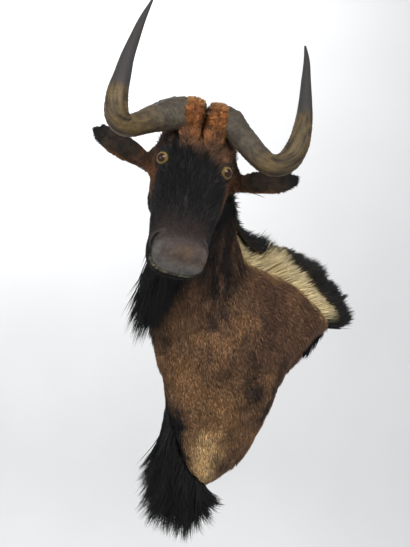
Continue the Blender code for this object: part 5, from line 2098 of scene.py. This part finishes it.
@dataclass
class Studio:
    """A pale sweep behind the mount, soft lights and the camera."""

    camera_place: tuple[float, float, float] = (-0.05, -2.9, 0.27)
    lens: float = 36.0 * 1102.0 / 547.0
    wall: float = 8.0
    floor: float = -3.2
    top: float = 12.0
    bend: float = 1.6
    reach: float = 14.0

    def sweep(self) -> None:
        """Floor and backdrop as one curved sheet."""
        shape = bmesh.new()
        profile = [(-self.reach, self.floor)]
        back, low = self.wall - self.bend, self.floor + self.bend
        for turn in np.linspace(0.0, math.pi / 2, 13):
            profile.append((back + self.bend * math.sin(turn), low - self.bend * math.cos(turn)))
        profile.append((self.wall, self.top))
        verts = [shape.verts.new((-self.reach, y, z)) for y, z in profile]
        edges = [shape.edges.new(pair) for pair in zip(verts, verts[1:])]
        grown = bmesh.ops.extrude_edge_only(shape, edges=edges)["geom"]
        fresh = [v for v in grown if isinstance(v, bmesh.types.BMVert)]
        bmesh.ops.translate(shape, verts=fresh, vec=(2 * self.reach, 0, 0))
        bmesh.ops.recalc_face_normals(shape, faces=shape.faces)
        piece = shown("sweep", shape)
        made = Finish("pale_paper")
        tone = made.ramp(made.noise(0.8, 2.0, 0.5), (0.3, 0.80), (0.7, 0.84))
        made.set(Base_Color=tone, Roughness=0.9, Specular_IOR_Level=0.1)
        piece.data.materials.append(made.material)

    def light(self, name: str, place: tuple, target: tuple, size: float, power: float, tone: tuple) -> None:
        """One soft area light aimed at a point."""
        data = bpy.data.lights.new(name, "AREA")
        data.shape = "DISK"
        data.size = size
        data.energy = power
        data.color = tone
        lamp = in_scene(name, data)
        lamp.location = place
        lamp.rotation_euler = (Vector(target) - Vector(place)).to_track_quat("-Z", "Y").to_euler()

    def build(self) -> None:
        """Sets the stage."""
        self.sweep()
        world = bpy.data.worlds.new("pale_room")
        world.use_nodes = True
        world.node_tree.nodes["Background"].inputs["Color"].default_value = (0.95, 0.97, 1.0, 1.0)
        world.node_tree.nodes["Background"].inputs["Strength"].default_value = 0.45
        bpy.context.scene.world = world
        self.light("key", (0.7, -3.2, 2.2), (-0.05, -0.2, 0.3), 2.2, 128.0, (1.0, 0.99, 0.97))
        self.light("fill", (-2.4, -2.4, 0.9), (-0.05, -0.2, 0.3), 1.8, 45.0, (0.96, 0.98, 1.0))
        self.light("backdrop", (-2.0, 4.8, 5.0), (-2.0, 7.8, 0.8), 3.0, 330.0, (1.0, 1.0, 1.0))
        data = bpy.data.cameras.new("camera")
        data.lens = self.lens
        data.sensor_width = 36.0
        data.clip_start = 0.05
        data.clip_end = 60.0
        camera = in_scene("camera", data)
        camera.location = self.camera_place
        camera.rotation_euler = (math.pi / 2, 0.0, 0.0)
        bpy.context.scene.camera = camera
        bpy.context.scene.view_settings.view_transform = "Standard"


def main() -> None:
    """Builds every piece in order."""
    logging.basicConfig(level=logging.INFO, format="%(message)s")
    surface = Skin().build()
    ShortCoat(surface).build()
    Mane(surface).build()
    Fringe(surface, name="beard", rows=BEARD_ROWS, count=4600, wave=0.08, inner=0.45, ragged=0.60).build()
    Fringe(surface, name="chest_tuft", rows=CHEST_ROWS, count=5200, wave=0.15, curl=0.12, end_curl=0.36,
           inner=0.9, clump=0.42, thinning=0.58, stations=7, snapped=True).build()
    Fringe(surface, name="corner_tuft", rows=CORNER_ROWS, count=170, wave=0.14, half_width=0.0007, clump=0.8,
           snapped=True).build()
    NeckLocks(surface).build()
    Forelock(surface).build()
    Brush(surface).build()
    Brush(surface, name="brow_hair", nodes=(), slot=Slot.COAT, count=4200, low=0.000, high=0.078,
          half=0.082, length=0.017, extra=0.006, lift=14.0, extra_lift=8.0, fan=10.0, seed=621).build()
    sheath = HornFinish().build()
    Horn("horn_right", -1, HORN_RIGHT).build(sheath)
    # The left horn's 0.82 is painted shade, darkening it as a whole.
    Horn("horn_left", 1, HORN_LEFT, 0.82).build(sheath)
    glass = GlassFinish().build()
    GlassEye("eye_left", 1).build(glass)
    GlassEye("eye_right", -1).build(glass)
    for node, finish in (("back_board", BoardFinish()), ("hanger_plate", SteelFinish())):
        node_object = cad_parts[node]
        node_object.data.materials.clear()
        node_object.data.materials.append(finish.build())
    Studio().build()


if __name__ == "__main__":
    main()
